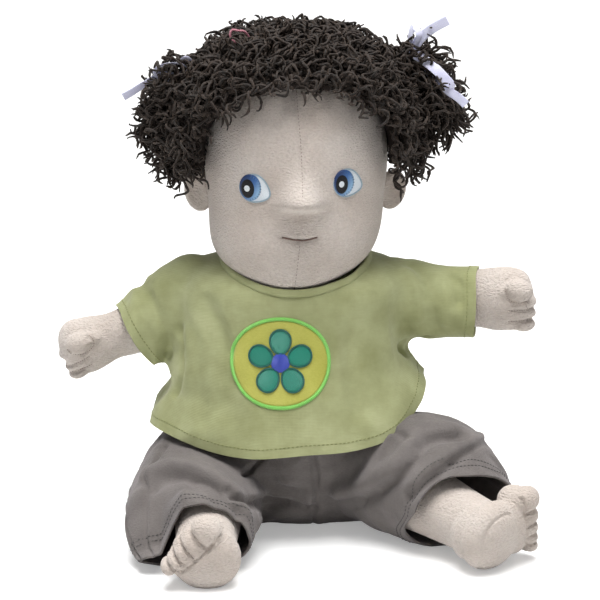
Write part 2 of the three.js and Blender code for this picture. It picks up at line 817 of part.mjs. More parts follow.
const chinDrop = -5;
const headTop = headHeight + chinDrop;
const headProfile = {
  height: [chinDrop, 1, 10, 22, 46, 70, 92, 111, 122, headTop],
  side: [0.10, 0.50, 0.78, 0.92, 0.965, 1, 0.94, 0.72, 0.45, 0.05].map((k) => (k * headWidth) / 2),
  front: [0.10, 0.52, 0.78, 0.92, 0.98, 1, 0.93, 0.72, 0.44, 0.05].map((k) => (k * headDepth) / 2),
  back: [0.10, 0.48, 0.74, 0.88, 0.97, 1, 0.97, 0.77, 0.48, 0.05].map((k) => (k * headDepth) / 2),
  middle: [-16, -12, -6, -1, 0, 1, 1, 1, 1, 1],
};
const headRings = uprightRings(headProfile, { steps: 13, sides: 22 });
const headEgg = skinned(headRings);
const noseCentre = new THREE.Vector3(0, -headDepth / 2 - noseLength + 10, noseHeight);
const nose = lobe(noseCentre, worldAxes, [noseWidth / 2, 10, noseWidth * 0.36], 10, 8);

function headLayer(inner, outer) {
  const grown = (by) => solidOf(asWorn(inflated(headEgg, by)));
  return grown(outer).subtract(grown(inner));
}

const grownNeck = solidOf(neckGeometry(fitGap));
const headSolid = solidOf(asWorn(headEgg.clone()))
  .add(solidOf(asWorn(nose.clone())))
  .subtract(grownNeck);
const grownHead = solidOf(asWorn(inflated(headEgg, fitGap)));

// Room that the head needs in the torso and the shirt while it nods and turns.
const headMoves = [-turnLimit, 0, turnLimit].flatMap((turn) => [
  [0, turn],
  [nodForward, turn],
]);
const headSweep = join(headMoves.map(([nod, turn]) => {
  const turned = tilted(asWorn(inflated(headEgg, fitGap * 2)), neckPivot, axisZ, turn);
  return solidOf(tilted(turned, neckPivot, axisX, nod));
}));

addPiece(doll, 'torso', torso, skinLook);
addPiece(doll, 'granule_pouch', solidOf(pouchGeometry), pouchLook);
addPiece(doll, 'trouser_seat', trouserSeat, trouserLook);
addPiece(doll, 'trouser_waistband', waistband, trouserLook);
addPiece(doll, 'shirt_body', shirtBody.subtract(headSweep), shirtLook);
addPiece(doll, 'shirt_neckband', solidOf(neckbandTube()).subtract(headSweep), shirtLook);

// Appliqué patch on the chest
const patchLayer = shirtLayer(fitGap, fitGap + patchThickness);
const patchOuter = roundShape(patchCentre, patchWidth / 2, patchHeight / 2);
const patchInner = roundShape(patchCentre, patchWidth / 2 - patchBorder, patchHeight / 2 - patchBorder);
const patchField = roundShape(
  patchCentre,
  patchWidth / 2 - patchBorder - fitGap,
  patchHeight / 2 - patchBorder - fitGap,
);
const patchBase = patchLayer.intersect(frontPrism(patchField));
const patchRim = patchLayer.intersect(frontPrism(patchOuter)).subtract(frontPrism(patchInner));
const flowerLayer = shirtLayer(2 * fitGap + patchThickness, 2 * fitGap + 2 * patchThickness);
const flowerHole = roundShape(patchCentre, flowerCentreRadius + fitGap, flowerCentreRadius + fitGap);
const flowerDisc = roundShape(patchCentre, flowerCentreRadius, flowerCentreRadius);
const petals = flowerLayer
  .intersect(frontPrism(flowerShape(patchCentre)))
  .subtract(frontPrism(flowerHole));
const flowerCentre = flowerLayer.intersect(frontPrism(flowerDisc));
addPiece(doll, 'patch_field', patchBase, patchLook);
addPiece(doll, 'patch_border', patchRim, borderLook);
addPiece(doll, 'patch_flower_petals', petals, petalLook);
addPiece(doll, 'patch_flower_centre', flowerCentre, blueLook);

// Hook and loop tape inside the shirt's back opening
function closureTape(offset) {
  const zone = blockOver(
    new THREE.Vector3(offset - tapeWidth / 2, 0, tapeBottom),
    new THREE.Vector3(offset + tapeWidth / 2, farAway, tapeBottom + tapeLength),
  );
  const grown = (by) => solidOf(skinned(shirtRings(by)));
  return grown(-wallAndGap).subtract(grown(-wallAndGap - tapeThickness)).intersect(zone);
}
addPiece(doll, 'closure_hook_tape', closureTape(-tapeWidth / 2 - fitGap), tapeLook);
addPiece(doll, 'closure_loop_tape', closureTape(tapeWidth / 2 + fitGap), tapeLook);

addPiece(neckGroup, 'neck', solidOf(neckGeometry(0)), skinLook);
addPiece(headGroup, 'head', headSolid, skinLook);

// Ears: cupped lobes seated on the sides of the head
for (const side of sides) {
  const centre = new THREE.Vector3(side.sign * (headWidth / 2 + earWidth * 0.32), 3, earHeight);
  const top = new THREE.Vector3(side.sign * earSlant, 0, 1).normalize();
  const outward = new THREE.Vector3(side.sign, 0, -earSlant).normalize();
  const axes = [top, outward, new THREE.Vector3().crossVectors(top, outward)];
  const shell = lobe(centre, axes, [earLength / 2, earWidth / 2, earThickness / 2], 12, 8);
  const hollowCentre = centre.clone().add(new THREE.Vector3(side.sign * 2.5, -5.5, 0));
  const hollowRadii = [earLength * 0.31, earWidth * 0.28, earThickness * 0.34];
  const hollow = solidOf(asWorn(lobe(hollowCentre, axes, hollowRadii, 10, 6)));
  side.grownEar = solidOf(asWorn(inflated(shell, fitGap)));
  const ear = solidOf(asWorn(shell)).subtract(hollow).subtract(grownHead);
  addPiece(headGroup, `${side.name}_ear`, ear, skinLook);
}

// Embroidered eyes: nested flat pads of thread on the face
const threadLayer = headLayer(fitGap, fitGap + threadThickness);

function facePrism(shape, curveSegments = 8) {
  const block = prism(shape, farAway, curveSegments);
  return solidOf(asWorn(block));
}

function eyeOutline(centre, size) {
  const shape = new THREE.Shape();
  const r = size / 2;
  shape.moveTo(centre.x - r, centre.y);
  const curve = (...places) => {
    const points = places.map(([across, up]) => [centre.x + across * r, centre.y + up * r]);
    shape.bezierCurveTo(...points.flat());
  };
  curve([-1, 1.1], [0.35, 1.15], [1, -0.12]);
  curve([0.55, -1.05], [-1, -1.35], [-1, 0]);
  return shape;
}

for (const side of sides) {
  const tilt = (side.sign * eyeTilt) / 2;
  const centre = new THREE.Vector2((side.sign * eyeSpacing) / 2, eyeHeight + tilt);
  const iris = new THREE.Vector2(centre.x - gazeShift, centre.y + 0.2);
  const glint = new THREE.Vector2(iris.x - 0.4, iris.y + 0.2);
  const disc = (middle, radius) => facePrism(roundShape(middle, radius, radius), 5);
  const white = threadLayer
    .intersect(facePrism(eyeOutline(centre, eyeSize)))
    .subtract(disc(iris, irisRadius + fitGap));
  addPiece(headGroup, `${side.name}_eye_white`, white, eyeWhiteLook);
  const irisRing = threadLayer.intersect(disc(iris, irisRadius)).subtract(disc(iris, pupilRadius + fitGap));
  addPiece(headGroup, `${side.name}_iris`, irisRing, irisLook);
  const pupil = threadLayer.intersect(disc(iris, pupilRadius)).subtract(disc(glint, glintRadius + fitGap));
  addPiece(headGroup, `${side.name}_pupil`, pupil, pupilLook);
  const glintDot = threadLayer.intersect(disc(glint, glintRadius));
  addPiece(headGroup, `${side.name}_eye_glint`, glintDot, eyeWhiteLook);
}

// Mouth: one line of stitches that dips in the middle
function mouthShape() {
  const half = mouthWidth / 2;
  const thick = mouthThread;
  const dip = mouthDip / 2;
  const shape = new THREE.Shape();
  shape.moveTo(-half, mouthHeight + dip);
  shape.quadraticCurveTo(0, mouthHeight - dip, half, mouthHeight + dip);
  shape.lineTo(half, mouthHeight + dip - thick);
  shape.quadraticCurveTo(0, mouthHeight - dip - thick, -half, mouthHeight + dip - thick);
  return shape;
}
addPiece(headGroup, 'mouth_stitch', threadLayer.intersect(facePrism(mouthShape())), stitchLook);

// Hair: a lumpy cap round the head and a bunch on each side

const hairShares = [0.05, 0.5, 0.78, 0.93, 1, 0.98, 0.88, 0.66, 0.42, 0.05];
const hairLevels = [-1, -0.93, -0.74, -0.45, -0.1, 0.25, 0.55, 0.8, 0.94, 1];
const hairProfile = {
  height: hairLevels.map((k) => hairMiddle + (k * hairHeight) / 2),
  side: hairShares.map((k) => (k * hairWidth) / 2),
  front: hairShares.map((k) => (k * hairDepth) / 2),
  back: hairShares.map((k) => (k * hairDepth) / 2),
  middle: [hairSetback, hairSetback],
};
const hairLumps = (t, angle) => {
  const large = lumpDepth * Math.sin(5 * angle + 9 * t);
  const small = curlDepth * Math.sin(9 * angle - 21 * t);
  return (large + small) * Math.sin(Math.PI * t);
};
const hairRings = uprightRings(hairProfile, {
  steps: 14,
  sides: 26,
  squareness: roundedSquareness,
  ripple: hairLumps,
});
const hairForm = skinned(hairRings);

// Face opening: an arch from the temples over the forehead, open downwards.
const hairline = new THREE.Shape();
const faceHalf = 51;
const archTop = 113;
const templeHeight = 74;
hairline.moveTo(-faceHalf, -20);
hairline.lineTo(faceHalf, -20);
hairline.lineTo(faceHalf, templeHeight);
hairline.bezierCurveTo(faceHalf, archTop - 6, faceHalf * 0.55, archTop, 0, archTop);
hairline.bezierCurveTo(-faceHalf * 0.55, archTop, -faceHalf, archTop - 6, -faceHalf, templeHeight);
const faceOpening = facePrism(hairline, 8);

// The hair leaves the ears free and stops above the nape.
const earRoomBack = 14;
const earRoomTop = 60;
const napeLevel = 14;
const earRoom = sides.map((side) => {
  const inner = side.sign * (headWidth / 2 - 12);
  const outer = side.sign * farAway;
  const block = new THREE.BoxGeometry(Math.abs(outer - inner), farAway, farAway)
    .translate((inner + outer) / 2, earRoomBack - farAway / 2, earRoomTop - farAway / 2);
  return solidOf(asWorn(block));
});
const napeBlock = new THREE.BoxGeometry(farAway, farAway, farAway).translate(0, 0, napeLevel - farAway / 2);
const napeRoom = solidOf(asWorn(napeBlock));

const hairCore = cutBy(solidOf(asWorn(hairForm.clone())), [faceOpening, ...earRoom, napeRoom]);

const bunchPlaces = sides.map(({ name, sign }) => ({
  name,
  centre: new THREE.Vector3(sign * bunchSpread + 1.5, 5, bunchHeight + sign * bunchTilt),
  knot: new THREE.Vector3(sign * bowSpread - 1, 1 + sign * 3, bowHeight + sign * bowTilt),
  lean: -sign * 0.5,
}));

// Flat ribbon along a route in the bow's own XZ plane, with its width along Y.
function ribbonAlong(route, closed) {
  const rings = route.map((p, i) => {
    const last = route.length - 1;
    const before = route[closed ? (i + last) % route.length : Math.max(i - 1, 0)];
    const after = route[closed ? (i + 1) % route.length : Math.min(i + 1, last)];
    const way = after.clone().sub(before).normalize();
    const across = new THREE.Vector2(-way.y, way.x).multiplyScalar(ribbonThickness / 2);
    const half = ribbonWidth / 2;
    const corner = (f, g) => new THREE.Vector3(p.x + f * across.x, g * half, p.y + f * across.y);
    return [corner(-1, -1), corner(1, -1), corner(1, 1), corner(-1, 1)];
  });
  return skinned(rings, { loop: closed });
}

function bowLoop(direction) {
  const route = [];
  const count = 10;
  for (let i = 0; i < count; i += 1) {
    const angle = (2 * Math.PI * i) / count;
    route.push(new THREE.Vector2(
      direction * (bowLoopLength / 2) * (1 - Math.cos(angle)),
      direction * bowLoopLength * 0.3 * Math.sin(angle) + 2,
    ));
  }
  return ribbonAlong(route, true);
}

function bowTail(direction) {
  const curve = new THREE.QuadraticBezierCurve(
    new THREE.Vector2(0, 0),
    new THREE.Vector2(direction * bowTailLength * 0.5, 1),
    new THREE.Vector2(direction * bowTailLength * 0.85, -bowTailLength * 0.45),
  );
  return ribbonAlong(curve.getPoints(4), false);
}

function bowSolid(place) {
  const pieces = [bowLoop(1), bowLoop(-1), bowTail(1), bowTail(-1)];
  pieces.push(lobe(new THREE.Vector3(0, 0, 0), worldAxes, [knotRadius, knotRadius, knotRadius * 0.8], 8, 6));
  return pieces.map((piece) => {
    const turned = piece.rotateY(place.lean);
    return solidOf(asWorn(turned.translate(place.knot.x, place.knot.y, place.knot.z)));
  });
}

const bows = bunchPlaces.map((place) => join(bowSolid(place)));

// A small loose loop of elastic that stands out of the hair on top.
const elasticPlace = new THREE.Vector3(-33, -18, 137);
function elasticLoop(thickness) {
  const half = elasticLoopWidth / 2;
  const route = new THREE.CatmullRomCurve3([
    new THREE.Vector3(-half, 0, -6),
    new THREE.Vector3(-half, 0, 1),
    new THREE.Vector3(-half * 0.4, -1, 6),
    new THREE.Vector3(half * 0.6, -1.5, 5.4),
    new THREE.Vector3(half, -1, 1),
    new THREE.Vector3(half * 0.8, 0, -6),
  ].map((p) => p.add(elasticPlace)));
  const section = new THREE.Shape();
  section.absarc(0, 0, thickness / 2, 0, 2 * Math.PI, false);
  const tube = new THREE.ExtrudeGeometry(section, {
    steps: 12,
    extrudePath: route,
    curveSegments: 3,
    bevelEnabled: false,
  });
  return solidOf(asWorn(tube));
}

const hairCap = cutBy(hairCore, [
  grownHead,
  ...sides.map((side) => side.grownEar),
  elasticLoop(elasticThickness + 2 * fitGap),
]);
const grownCap = solidOf(asWorn(inflated(hairForm, fitGap)));

bunchPlaces.forEach((place, i) => {
  const side = sides[i];
  const round = lobe(place.centre, worldAxes, [bunchRadius, bunchRadius, bunchTall], 16, 10);
  place.solid = cutBy(solidOf(asWorn(round)), [grownCap, grownHead, side.grownEar]);
});

addPiece(headGroup, 'hair_cap', hairCap, hairLook);
bunchPlaces.forEach((place, i) => {
  addPiece(headGroup, `${place.name}_hair_bunch`, place.solid, hairLook);
  addPiece(headGroup, `${place.name}_bow`, bows[i].subtract(grownCap), satinLook);
});
addPiece(headGroup, 'hair_elastic_loop', elasticLoop(elasticThickness), elasticLook);

// Limbs with the cloth that they carry

for (const side of sides) {
  const armGroup = movingGroup(doll, armFrame(side).pivot);
  addPiece(armGroup, `${side.name}_arm`, join(armParts(side).map(solidOf)), skinLook);
  const sleeve = solidOf(tubeOf(sleeveRings(side, 0), sleeveRings(side, clothWall)));
  addPiece(armGroup, `${side.name}_sleeve`, sleeve, shirtLook);
  const legGroup = movingGroup(doll, legDirections(side).pivot);
  addPiece(legGroup, `${side.name}_leg`, legSolid(side), skinLook);
  const trouserLeg = tubeOf(trouserLegRings(side, 0, 0), trouserLegRings(side, clothWall, clothWall));
  addPiece(legGroup, `${side.name}_trouser_leg`, solidOf(trouserLeg), trouserLook);
}

export default doll;
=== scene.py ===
"""Sitting cloth doll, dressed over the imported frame: stuffed body, yarn hair, shirt and trousers.

Lengths inside the builders are millimetres in the doll's own frame (+Z up, -Y the way it faces,
-X its right side) and become metres when a mesh is made.
"""

import logging
import math
from dataclasses import dataclass, field
from enum import Enum
from typing import Callable, Protocol, Sequence

import bmesh
import bpy
import numpy as np
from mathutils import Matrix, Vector, noise
from mathutils.bvhtree import BVHTree
from mathutils.kdtree import KDTree


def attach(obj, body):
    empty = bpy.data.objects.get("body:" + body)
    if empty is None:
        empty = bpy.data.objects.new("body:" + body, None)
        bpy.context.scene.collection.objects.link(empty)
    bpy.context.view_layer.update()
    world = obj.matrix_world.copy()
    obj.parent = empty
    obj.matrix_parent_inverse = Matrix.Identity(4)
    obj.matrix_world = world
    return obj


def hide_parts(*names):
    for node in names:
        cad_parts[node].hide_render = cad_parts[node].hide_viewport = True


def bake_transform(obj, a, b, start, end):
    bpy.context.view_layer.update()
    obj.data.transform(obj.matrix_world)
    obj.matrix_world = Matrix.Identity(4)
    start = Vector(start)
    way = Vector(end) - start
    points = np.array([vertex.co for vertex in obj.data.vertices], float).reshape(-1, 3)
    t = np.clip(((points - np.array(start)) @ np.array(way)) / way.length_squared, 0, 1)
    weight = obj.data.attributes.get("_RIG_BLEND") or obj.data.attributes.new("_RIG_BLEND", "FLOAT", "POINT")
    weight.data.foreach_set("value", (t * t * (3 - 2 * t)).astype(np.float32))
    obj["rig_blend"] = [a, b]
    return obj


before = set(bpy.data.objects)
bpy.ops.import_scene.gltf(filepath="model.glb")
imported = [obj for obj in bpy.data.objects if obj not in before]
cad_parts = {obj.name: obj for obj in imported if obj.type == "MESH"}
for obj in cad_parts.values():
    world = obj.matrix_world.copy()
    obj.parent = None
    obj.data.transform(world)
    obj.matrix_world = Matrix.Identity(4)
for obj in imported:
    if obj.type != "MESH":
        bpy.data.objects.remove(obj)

logging.basicConfig(level=logging.INFO, format="%(message)s")
LOG = logging.getLogger("doll")
MM = 0.001

# The camera's place, and the Y of the plane in which the fold lines are given, mm
VIEWPOINT = np.array([6.6, -1159.1, 441.1])
FOLD_PLANE = -60.0

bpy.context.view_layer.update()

Array = np.ndarray
Shape = tuple[Array, list[tuple[int, ...]]]
Node = bpy.types.Node
Object = bpy.types.Object


class Side(Enum):
    """The doll's own sides, valued by the sign of X."""

    RIGHT = -1
    LEFT = 1

    @property
    def word(self) -> str:
        """The side's name in piece names."""
        return self.name.lower()


# Shapes


def through(values: Sequence[float], t: Array | float) -> Array:
    """Smooth curve through listed values.

    Args:
        values: The values at even steps of t.
        t: Where to read the curve, 0 to 1.

    Returns:
        The curve's values at t.
    """
    v = np.asarray(values, float)
    place = np.asarray(t, float) * (len(v) - 1)
    i = np.clip(np.floor(place).astype(int), 0, len(v) - 2)
    f = place - i
    before, here = v[np.maximum(i - 1, 0)], v[i]
    after, far = v[i + 1], v[np.minimum(i + 2, len(v) - 1)]
    slope_in, slope_out = (after - before) / 2, (far - here) / 2
    f2, f3 = f * f, f * f * f
    return (here * (2 * f3 - 3 * f2 + 1) + after * (3 * f2 - 2 * f3)
            + slope_in * (f3 - 2 * f2 + f) + slope_out * (f3 - f2))


def unit(v: Array) -> Array:
    """The vector or rows of vectors at length 1."""
    return v / np.maximum(np.linalg.norm(v, axis=-1, keepdims=True), 1e-9)


def bell(x: Array, width: float | Array, power: float = 2) -> Array:
    """Bump of height 1 at zero that falls off over a width; a higher power flattens its top."""
    return np.exp(-((x / width) ** power))


def turned_z(points: Array, degrees: float) -> Array:
    """Points turned about +Z through the origin."""
    a = math.radians(degrees)
    turn = np.array([[math.cos(a), -math.sin(a), 0], [math.sin(a), math.cos(a), 0], [0, 0, 1]])
    return points @ turn.T


def skin_of(rings: Array, closed: bool = True) -> Shape:
    """Closed skin over rings of corners.

    Args:
        rings: Array of rings by corners by xyz.
        closed: Whether both ends are capped.

    Returns:
        Points and faces.
    """
    n, sides, _ = rings.shape
    points = rings.reshape(-1, 3)
    faces: list[tuple[int, ...]] = []
    for r in range(n - 1):
        for s in range(sides):
            t = (s + 1) % sides
            faces.append((r * sides + s, r * sides + t, (r + 1) * sides + t, (r + 1) * sides + s))
    if closed:
        points = np.vstack([points, rings[0].mean(0), rings[-1].mean(0)])
        for s in range(sides):
            t = (s + 1) % sides
            faces.append((t, s, n * sides))
            faces.append(((n - 1) * sides + s, (n - 1) * sides + t, n * sides + 1))
    return points, faces


def lobe(centre: Sequence[float], axes: Array, radii: Sequence[float], sides: int = 28,
         steps: int = 18) -> Shape:
    """Ball stretched along three directions.

    Args:
        centre: Its middle.
        axes: Three unit vectors, as rows.
        radii: The reach along each of them.
        sides: Corners round it.
        steps: Rows from pole to pole.

    Returns:
        Points and faces.
    """
    polar = np.linspace(0.02, math.pi - 0.02, steps)[:, None]
    around = np.linspace(0, 2 * math.pi, sides, endpoint=False)[None, :]
    ball = np.stack([np.sin(polar) * np.cos(around), np.sin(polar) * np.sin(around),
                     np.cos(polar) + 0 * around], -1)
    return skin_of((ball * np.asarray(radii)) @ np.asarray(axes) + np.asarray(centre))


def new_mesh(name: str, shapes: Sequence[Shape], smooth: bool = True) -> Object:
    """One mesh object from shapes given in millimetres.

    Args:
        name: The object's name.
        shapes: Points and faces of each shape.
        smooth: Whether the faces are shaded smooth.

    Returns:
        The linked object, faces outwards.
    """
    points, faces, start = [], [], 0
    for shape_points, shape_faces in shapes:
        points.append(shape_points)
        faces.extend(tuple(i + start for i in f) for f in shape_faces)
        start += len(shape_points)
    mesh = bpy.data.meshes.new(name)
    mesh.from_pydata((np.vstack(points) * MM).tolist(), [], faces)
    obj = bpy.data.objects.new(name, mesh)
    bpy.context.scene.collection.objects.link(obj)
    b = bmesh.new()
    b.from_mesh(mesh)
    bmesh.ops.recalc_face_normals(b, faces=b.faces)
    b.to_mesh(mesh)
    b.free()
    if smooth:
        mesh.shade_smooth()
    return obj


def baked(obj: Object) -> Object:
    """The object with its modifiers turned into plain mesh."""
    bpy.context.view_layer.update()
    depsgraph = bpy.context.evaluated_depsgraph_get()
    mesh = bpy.data.meshes.new_from_object(obj.evaluated_get(depsgraph))
    mesh.name = obj.name
    obj.modifiers.clear()
    obj.data = mesh
    return obj


def reskinned(obj: Object, voxel: float, passes: int) -> Object:
    """The object under one even skin: voxel is the skin's grid in mm, passes how often it is smoothed."""
    remesh = obj.modifiers.new("fuse", "REMESH")
    remesh.mode, remesh.voxel_size, remesh.use_smooth_shade = "VOXEL", voxel * MM, True
    smooth = obj.modifiers.new("even", "SMOOTH")
    smooth.factor, smooth.iterations = 0.5, passes
    return baked(obj)


def fused(name: str, shapes: Sequence[Shape], voxel: float, passes: int) -> Object:
    """Overlapping closed shapes joined into one smooth stuffed skin.

    Args:
        name: The object's name.
        shapes: Closed shapes that overlap.
        voxel: Grid size of the new skin, mm.
        passes: How often the new skin is smoothed.

    Returns:
        The new object.
    """
    return reskinned(new_mesh(name, shapes), voxel, passes)


def points_of(obj: Object) -> Array:
    """The mesh's points in millimetres."""
    flat = np.empty(len(obj.data.vertices) * 3)
    obj.data.vertices.foreach_get("co", flat)
    return flat.reshape(-1, 3) / MM


def normals_of(obj: Object) -> Array:
    """The mesh's point normals."""
    flat = np.empty(len(obj.data.vertices) * 3)
    obj.data.vertex_normals.foreach_get("vector", flat)
    return flat.reshape(-1, 3)


def set_points(obj: Object, points: Array) -> None:
    """Moves the mesh's points to the given millimetres."""
    obj.data.vertices.foreach_set("co", (points * MM).ravel())
    obj.data.update()


def relief(obj: Object, height: Callable[[Array, Array], Array]) -> Object:
    """Raises or sinks a skin along its normals.

    Args:
        obj: The piece.
        height: Gives the rise in mm from points and normals.

    Returns:
        The same object.
    """
    points, normals = points_of(obj), normals_of(obj)
    set_points(obj, points + normals * height(points, normals)[:, None])
    return obj


def groove(points: Array, line: Array, width: float, depth: float) -> Array:
    """Sunken line along a polyline, as a stitched seam pulls a stuffed skin in.

    Args:
        points: Where to read it.
        line: The polyline's points.
        width: Half width of the groove, mm.
        depth: Its depth, mm.

    Returns:
        The (negative) rise at each point.
    """
    best = np.full(len(points), 1e9)
    for a, b in zip(line[:-1], line[1:]):
        d = b - a
        t = np.clip(((points - a) @ d) / max(d @ d, 1e-9), 0, 1)
        best = np.minimum(best, np.linalg.norm(points - a - t[:, None] * d, axis=1))
    return -depth * bell(best, width)


def crumple(points: Array, scale: Sequence[float], seed: float, sharp: float = 1.6) -> Array:
    """Uneven cloth folds, 0 in the hollows to 1 on the ridges.

    Args:
        points: Where to read them.
        scale: Size of a fold along each axis, mm.
        seed: Picks another pattern.
        sharp: More makes narrower ridges.

    Returns:
        The fold height at each point.
    """
    q = points / np.asarray(scale, float) + seed
    large = np.array([noise.noise(Vector(v)) for v in q])
    small = np.array([noise.noise(Vector(v)) for v in q * 2.1 + 3.7])
    wave = np.clip(1.5 * large + 0.35 * small, -1, 1)
    return (1.02 - np.sqrt(wave**2 + 0.035)) ** sharp


def seen(tree: BVHTree, spots: Array) -> Array:
    """Spots of a skin on the camera's sight lines through X, Z spots of the fold plane, mm."""
    found = []
    for x, z in spots:
        way = unit(np.array([x, FOLD_PLANE, z]) - VIEWPOINT)
        hit = tree.ray_cast(Vector(VIEWPOINT * MM), Vector(way))[0]
        if hit is not None:
            found.append(np.array(hit) / MM)
    return np.array(found)


def pressed(obj: Object, folds: Sequence[tuple[float, float, Sequence[tuple[float, float]]]]) -> None:
    """Presses single folds into a cloth.

    Args:
        obj: The cloth's skin.
        folds: Half width, depth (below zero for a ridge) and X, Z spots of each fold's line.
    """
    tree = tree_of(obj)
    points, normals = points_of(obj), normals_of(obj)
    rise = np.zeros(len(points))
    for width, depth, spots in folds:
        line = seen(tree, smooth_route(spots, 6 * len(spots)))
        if len(line) > 1:
            rise += groove(points, line, width, depth)
    set_points(obj, points + normals * rise[:, None])


def smoothed(obj: Object, levels: int = 1) -> Object:
    """The skin with its faces divided and rounded."""
    sub = obj.modifiers.new("soft", "SUBSURF")
    sub.levels = sub.render_levels = levels
    return baked(obj)


def opened(obj: Object, level: Callable[[Array], Array]) -> Object:
    """Cuts a skin open where a level function is above zero, with a clean edge.

    Args:
        obj: The closed skin.
        level: Height over the cut, mm, for each point; what lies above it goes.

    Returns:
        The same object, open there.
    """
    over = level(points_of(obj))
    b = bmesh.new()
    b.from_mesh(obj.data)
    shift = b.verts.layers.float.new("over")
    b.verts.ensure_lookup_table()
    for i, v in enumerate(b.verts):
        v[shift] = over[i]
    edges = [e for e in b.edges if (e.verts[0][shift] > 0) != (e.verts[1][shift] > 0)]
    for e in edges:
        a, c = e.verts
        share = a[shift] / (a[shift] - c[shift])
        share = min(max(share, 0.02), 0.98)
        _, v = bmesh.utils.edge_split(e, a, share)
        v[shift] = 0.0
    cut = [v for v in b.verts if v[shift] == 0.0]
    faces = {f for v in cut for f in v.link_faces}
    for f in faces:
        on = [v for v in f.verts if v[shift] == 0.0]
        if len(on) == 2 and not any({e.verts[0], e.verts[1]} == set(on) for e in f.edges):
            bmesh.utils.face_split(f, on[0], on[1])
    gone = [v for v in b.verts if v[shift] > 0]
    bmesh.ops.delete(b, geom=gone, context="VERTS")
    b.verts.layers.float.remove(b.verts.layers.float["over"])
    b.to_mesh(obj.data)
    b.free()
    obj.data.update()
    return obj


def part_of(obj: Object, name: str, keep: Callable[[Array], Array]) -> Object:
    """A copy that holds only the faces whose middles pass a test.

    Args:
        obj: The whole skin.
        name: The copy's name.
        keep: Says for each face middle, in mm, whether it stays.

    Returns:
        The new object.
    """
    copy = obj.copy()
    copy.data = obj.data.copy()
    copy.name = copy.data.name = name
    bpy.context.scene.collection.objects.link(copy)
    b = bmesh.new()
    b.from_mesh(copy.data)
    faces = list(b.faces)
    middles = np.array([f.calc_center_median() for f in faces]) / MM
    gone = [f for f, stays in zip(faces, keep(middles)) if not stays]
    bmesh.ops.delete(b, geom=gone, context="FACES")
    b.to_mesh(copy.data)
    b.free()
    return copy


def walled(obj: Object, wall: float, whole: Object | None = None) -> Object:
    """Gives an open cloth its thickness, inwards.

    Args:
        obj: The open skin.
        wall: Cloth thickness, mm.
        whole: The skin it was cut from; its normals keep the shading even over the cut.

    Returns:
        The same object, closed.
    """
    count = len(obj.data.vertices)
    even = None
    if whole is not None:
        near = KDTree(len(whole.data.vertices))
        for v in whole.data.vertices:
            near.insert(v.co, v.index)
        near.balance()
        every = normals_of(whole)
        even = np.array([every[near.find(v.co)[1]] for v in obj.data.vertices])
    solid = obj.modifiers.new("wall", "SOLIDIFY")
    solid.thickness, solid.offset, solid.use_rim = wall * MM, -1, True
    baked(obj)
    if even is not None:
        normals = normals_of(obj)
        normals[:count] = even
        obj.data.normals_split_custom_set_from_vertices(normals.tolist())
    return obj


def tree_of(obj: Object) -> BVHTree:
    """Search tree of a mesh, in metres."""
    b = bmesh.new()
    b.from_mesh(obj.data)
    tree = BVHTree.FromBMesh(b)
    b.free()
    return tree


def laid_on(tree: BVHTree, spots: Array, above: float, way: Sequence[float] | Array = (0, 1, 0)) -> Array:
    """Spots dropped on a skin along a direction and raised a little.

    Args:
        tree: The skin's search tree.
        spots: Starting points in mm.
        above: Rise over the skin, mm.
        way: Direction of the drop, one for all or one for each spot.

    Returns:
        The places on the skin, in mm.
    """
    ways = np.broadcast_to(np.asarray(way, float), (len(spots), 3))
    out = np.array(spots, float)
    for i, (p, w) in enumerate(zip(spots, ways)):
        hit, normal, _, _ = tree.ray_cast(Vector(p * MM), Vector(w))
        if hit is None:
            hit, normal, _, _ = tree.find_nearest(Vector(p * MM))
        out[i] = (np.array(hit) + np.array(normal) * above * MM) / MM
    return out


# Limbs' frames


@dataclass(frozen=True)
class LimbFrame:
    """Frame of a limb: along runs down it, out and up run across it."""

    pivot: Array
    along: Array
    out: Array
    up: Array

    def at(self, along: float, out: float = 0.0, up: float = 0.0) -> Array:
        """The point at these distances, in mm."""
        return self.pivot + self.along * along + self.out * out + self.up * up

    def local(self, points: Array) -> Array:
        """Points as distances along, out and up."""
        return (points - self.pivot) @ np.stack([self.along, self.out, self.up]).T

    def rings(self, along: Sequence[float], wide: Sequence[float], high: Sequence[float], steps: int = 40,
              sides: int = 36, out: Sequence[float] = (0, 0), up: Sequence[float] = (0, 0)) -> Array:
        """Rings of a tapering form.

        Args:
            along: Distances at even steps.
            wide: Half widths there.
            high: Half heights there.
            steps: Rings in all.
            sides: Corners of each ring.
            out: Middle's offset outwards.
            up: Middle's offset upwards.

        Returns:
            Rings by corners by xyz.
        """
        t = np.linspace(0, 1, steps)[:, None]
        a = np.linspace(0, 2 * math.pi, sides, endpoint=False)[None, :]
        x, w, h = through(along, t), through(wide, t), through(high, t)
        o, u = through(out, t) + np.cos(a) * w, through(up, t) + np.sin(a) * h
        return (self.pivot + x[..., None] * self.along + o[..., None] * self.out + u[..., None] * self.up)


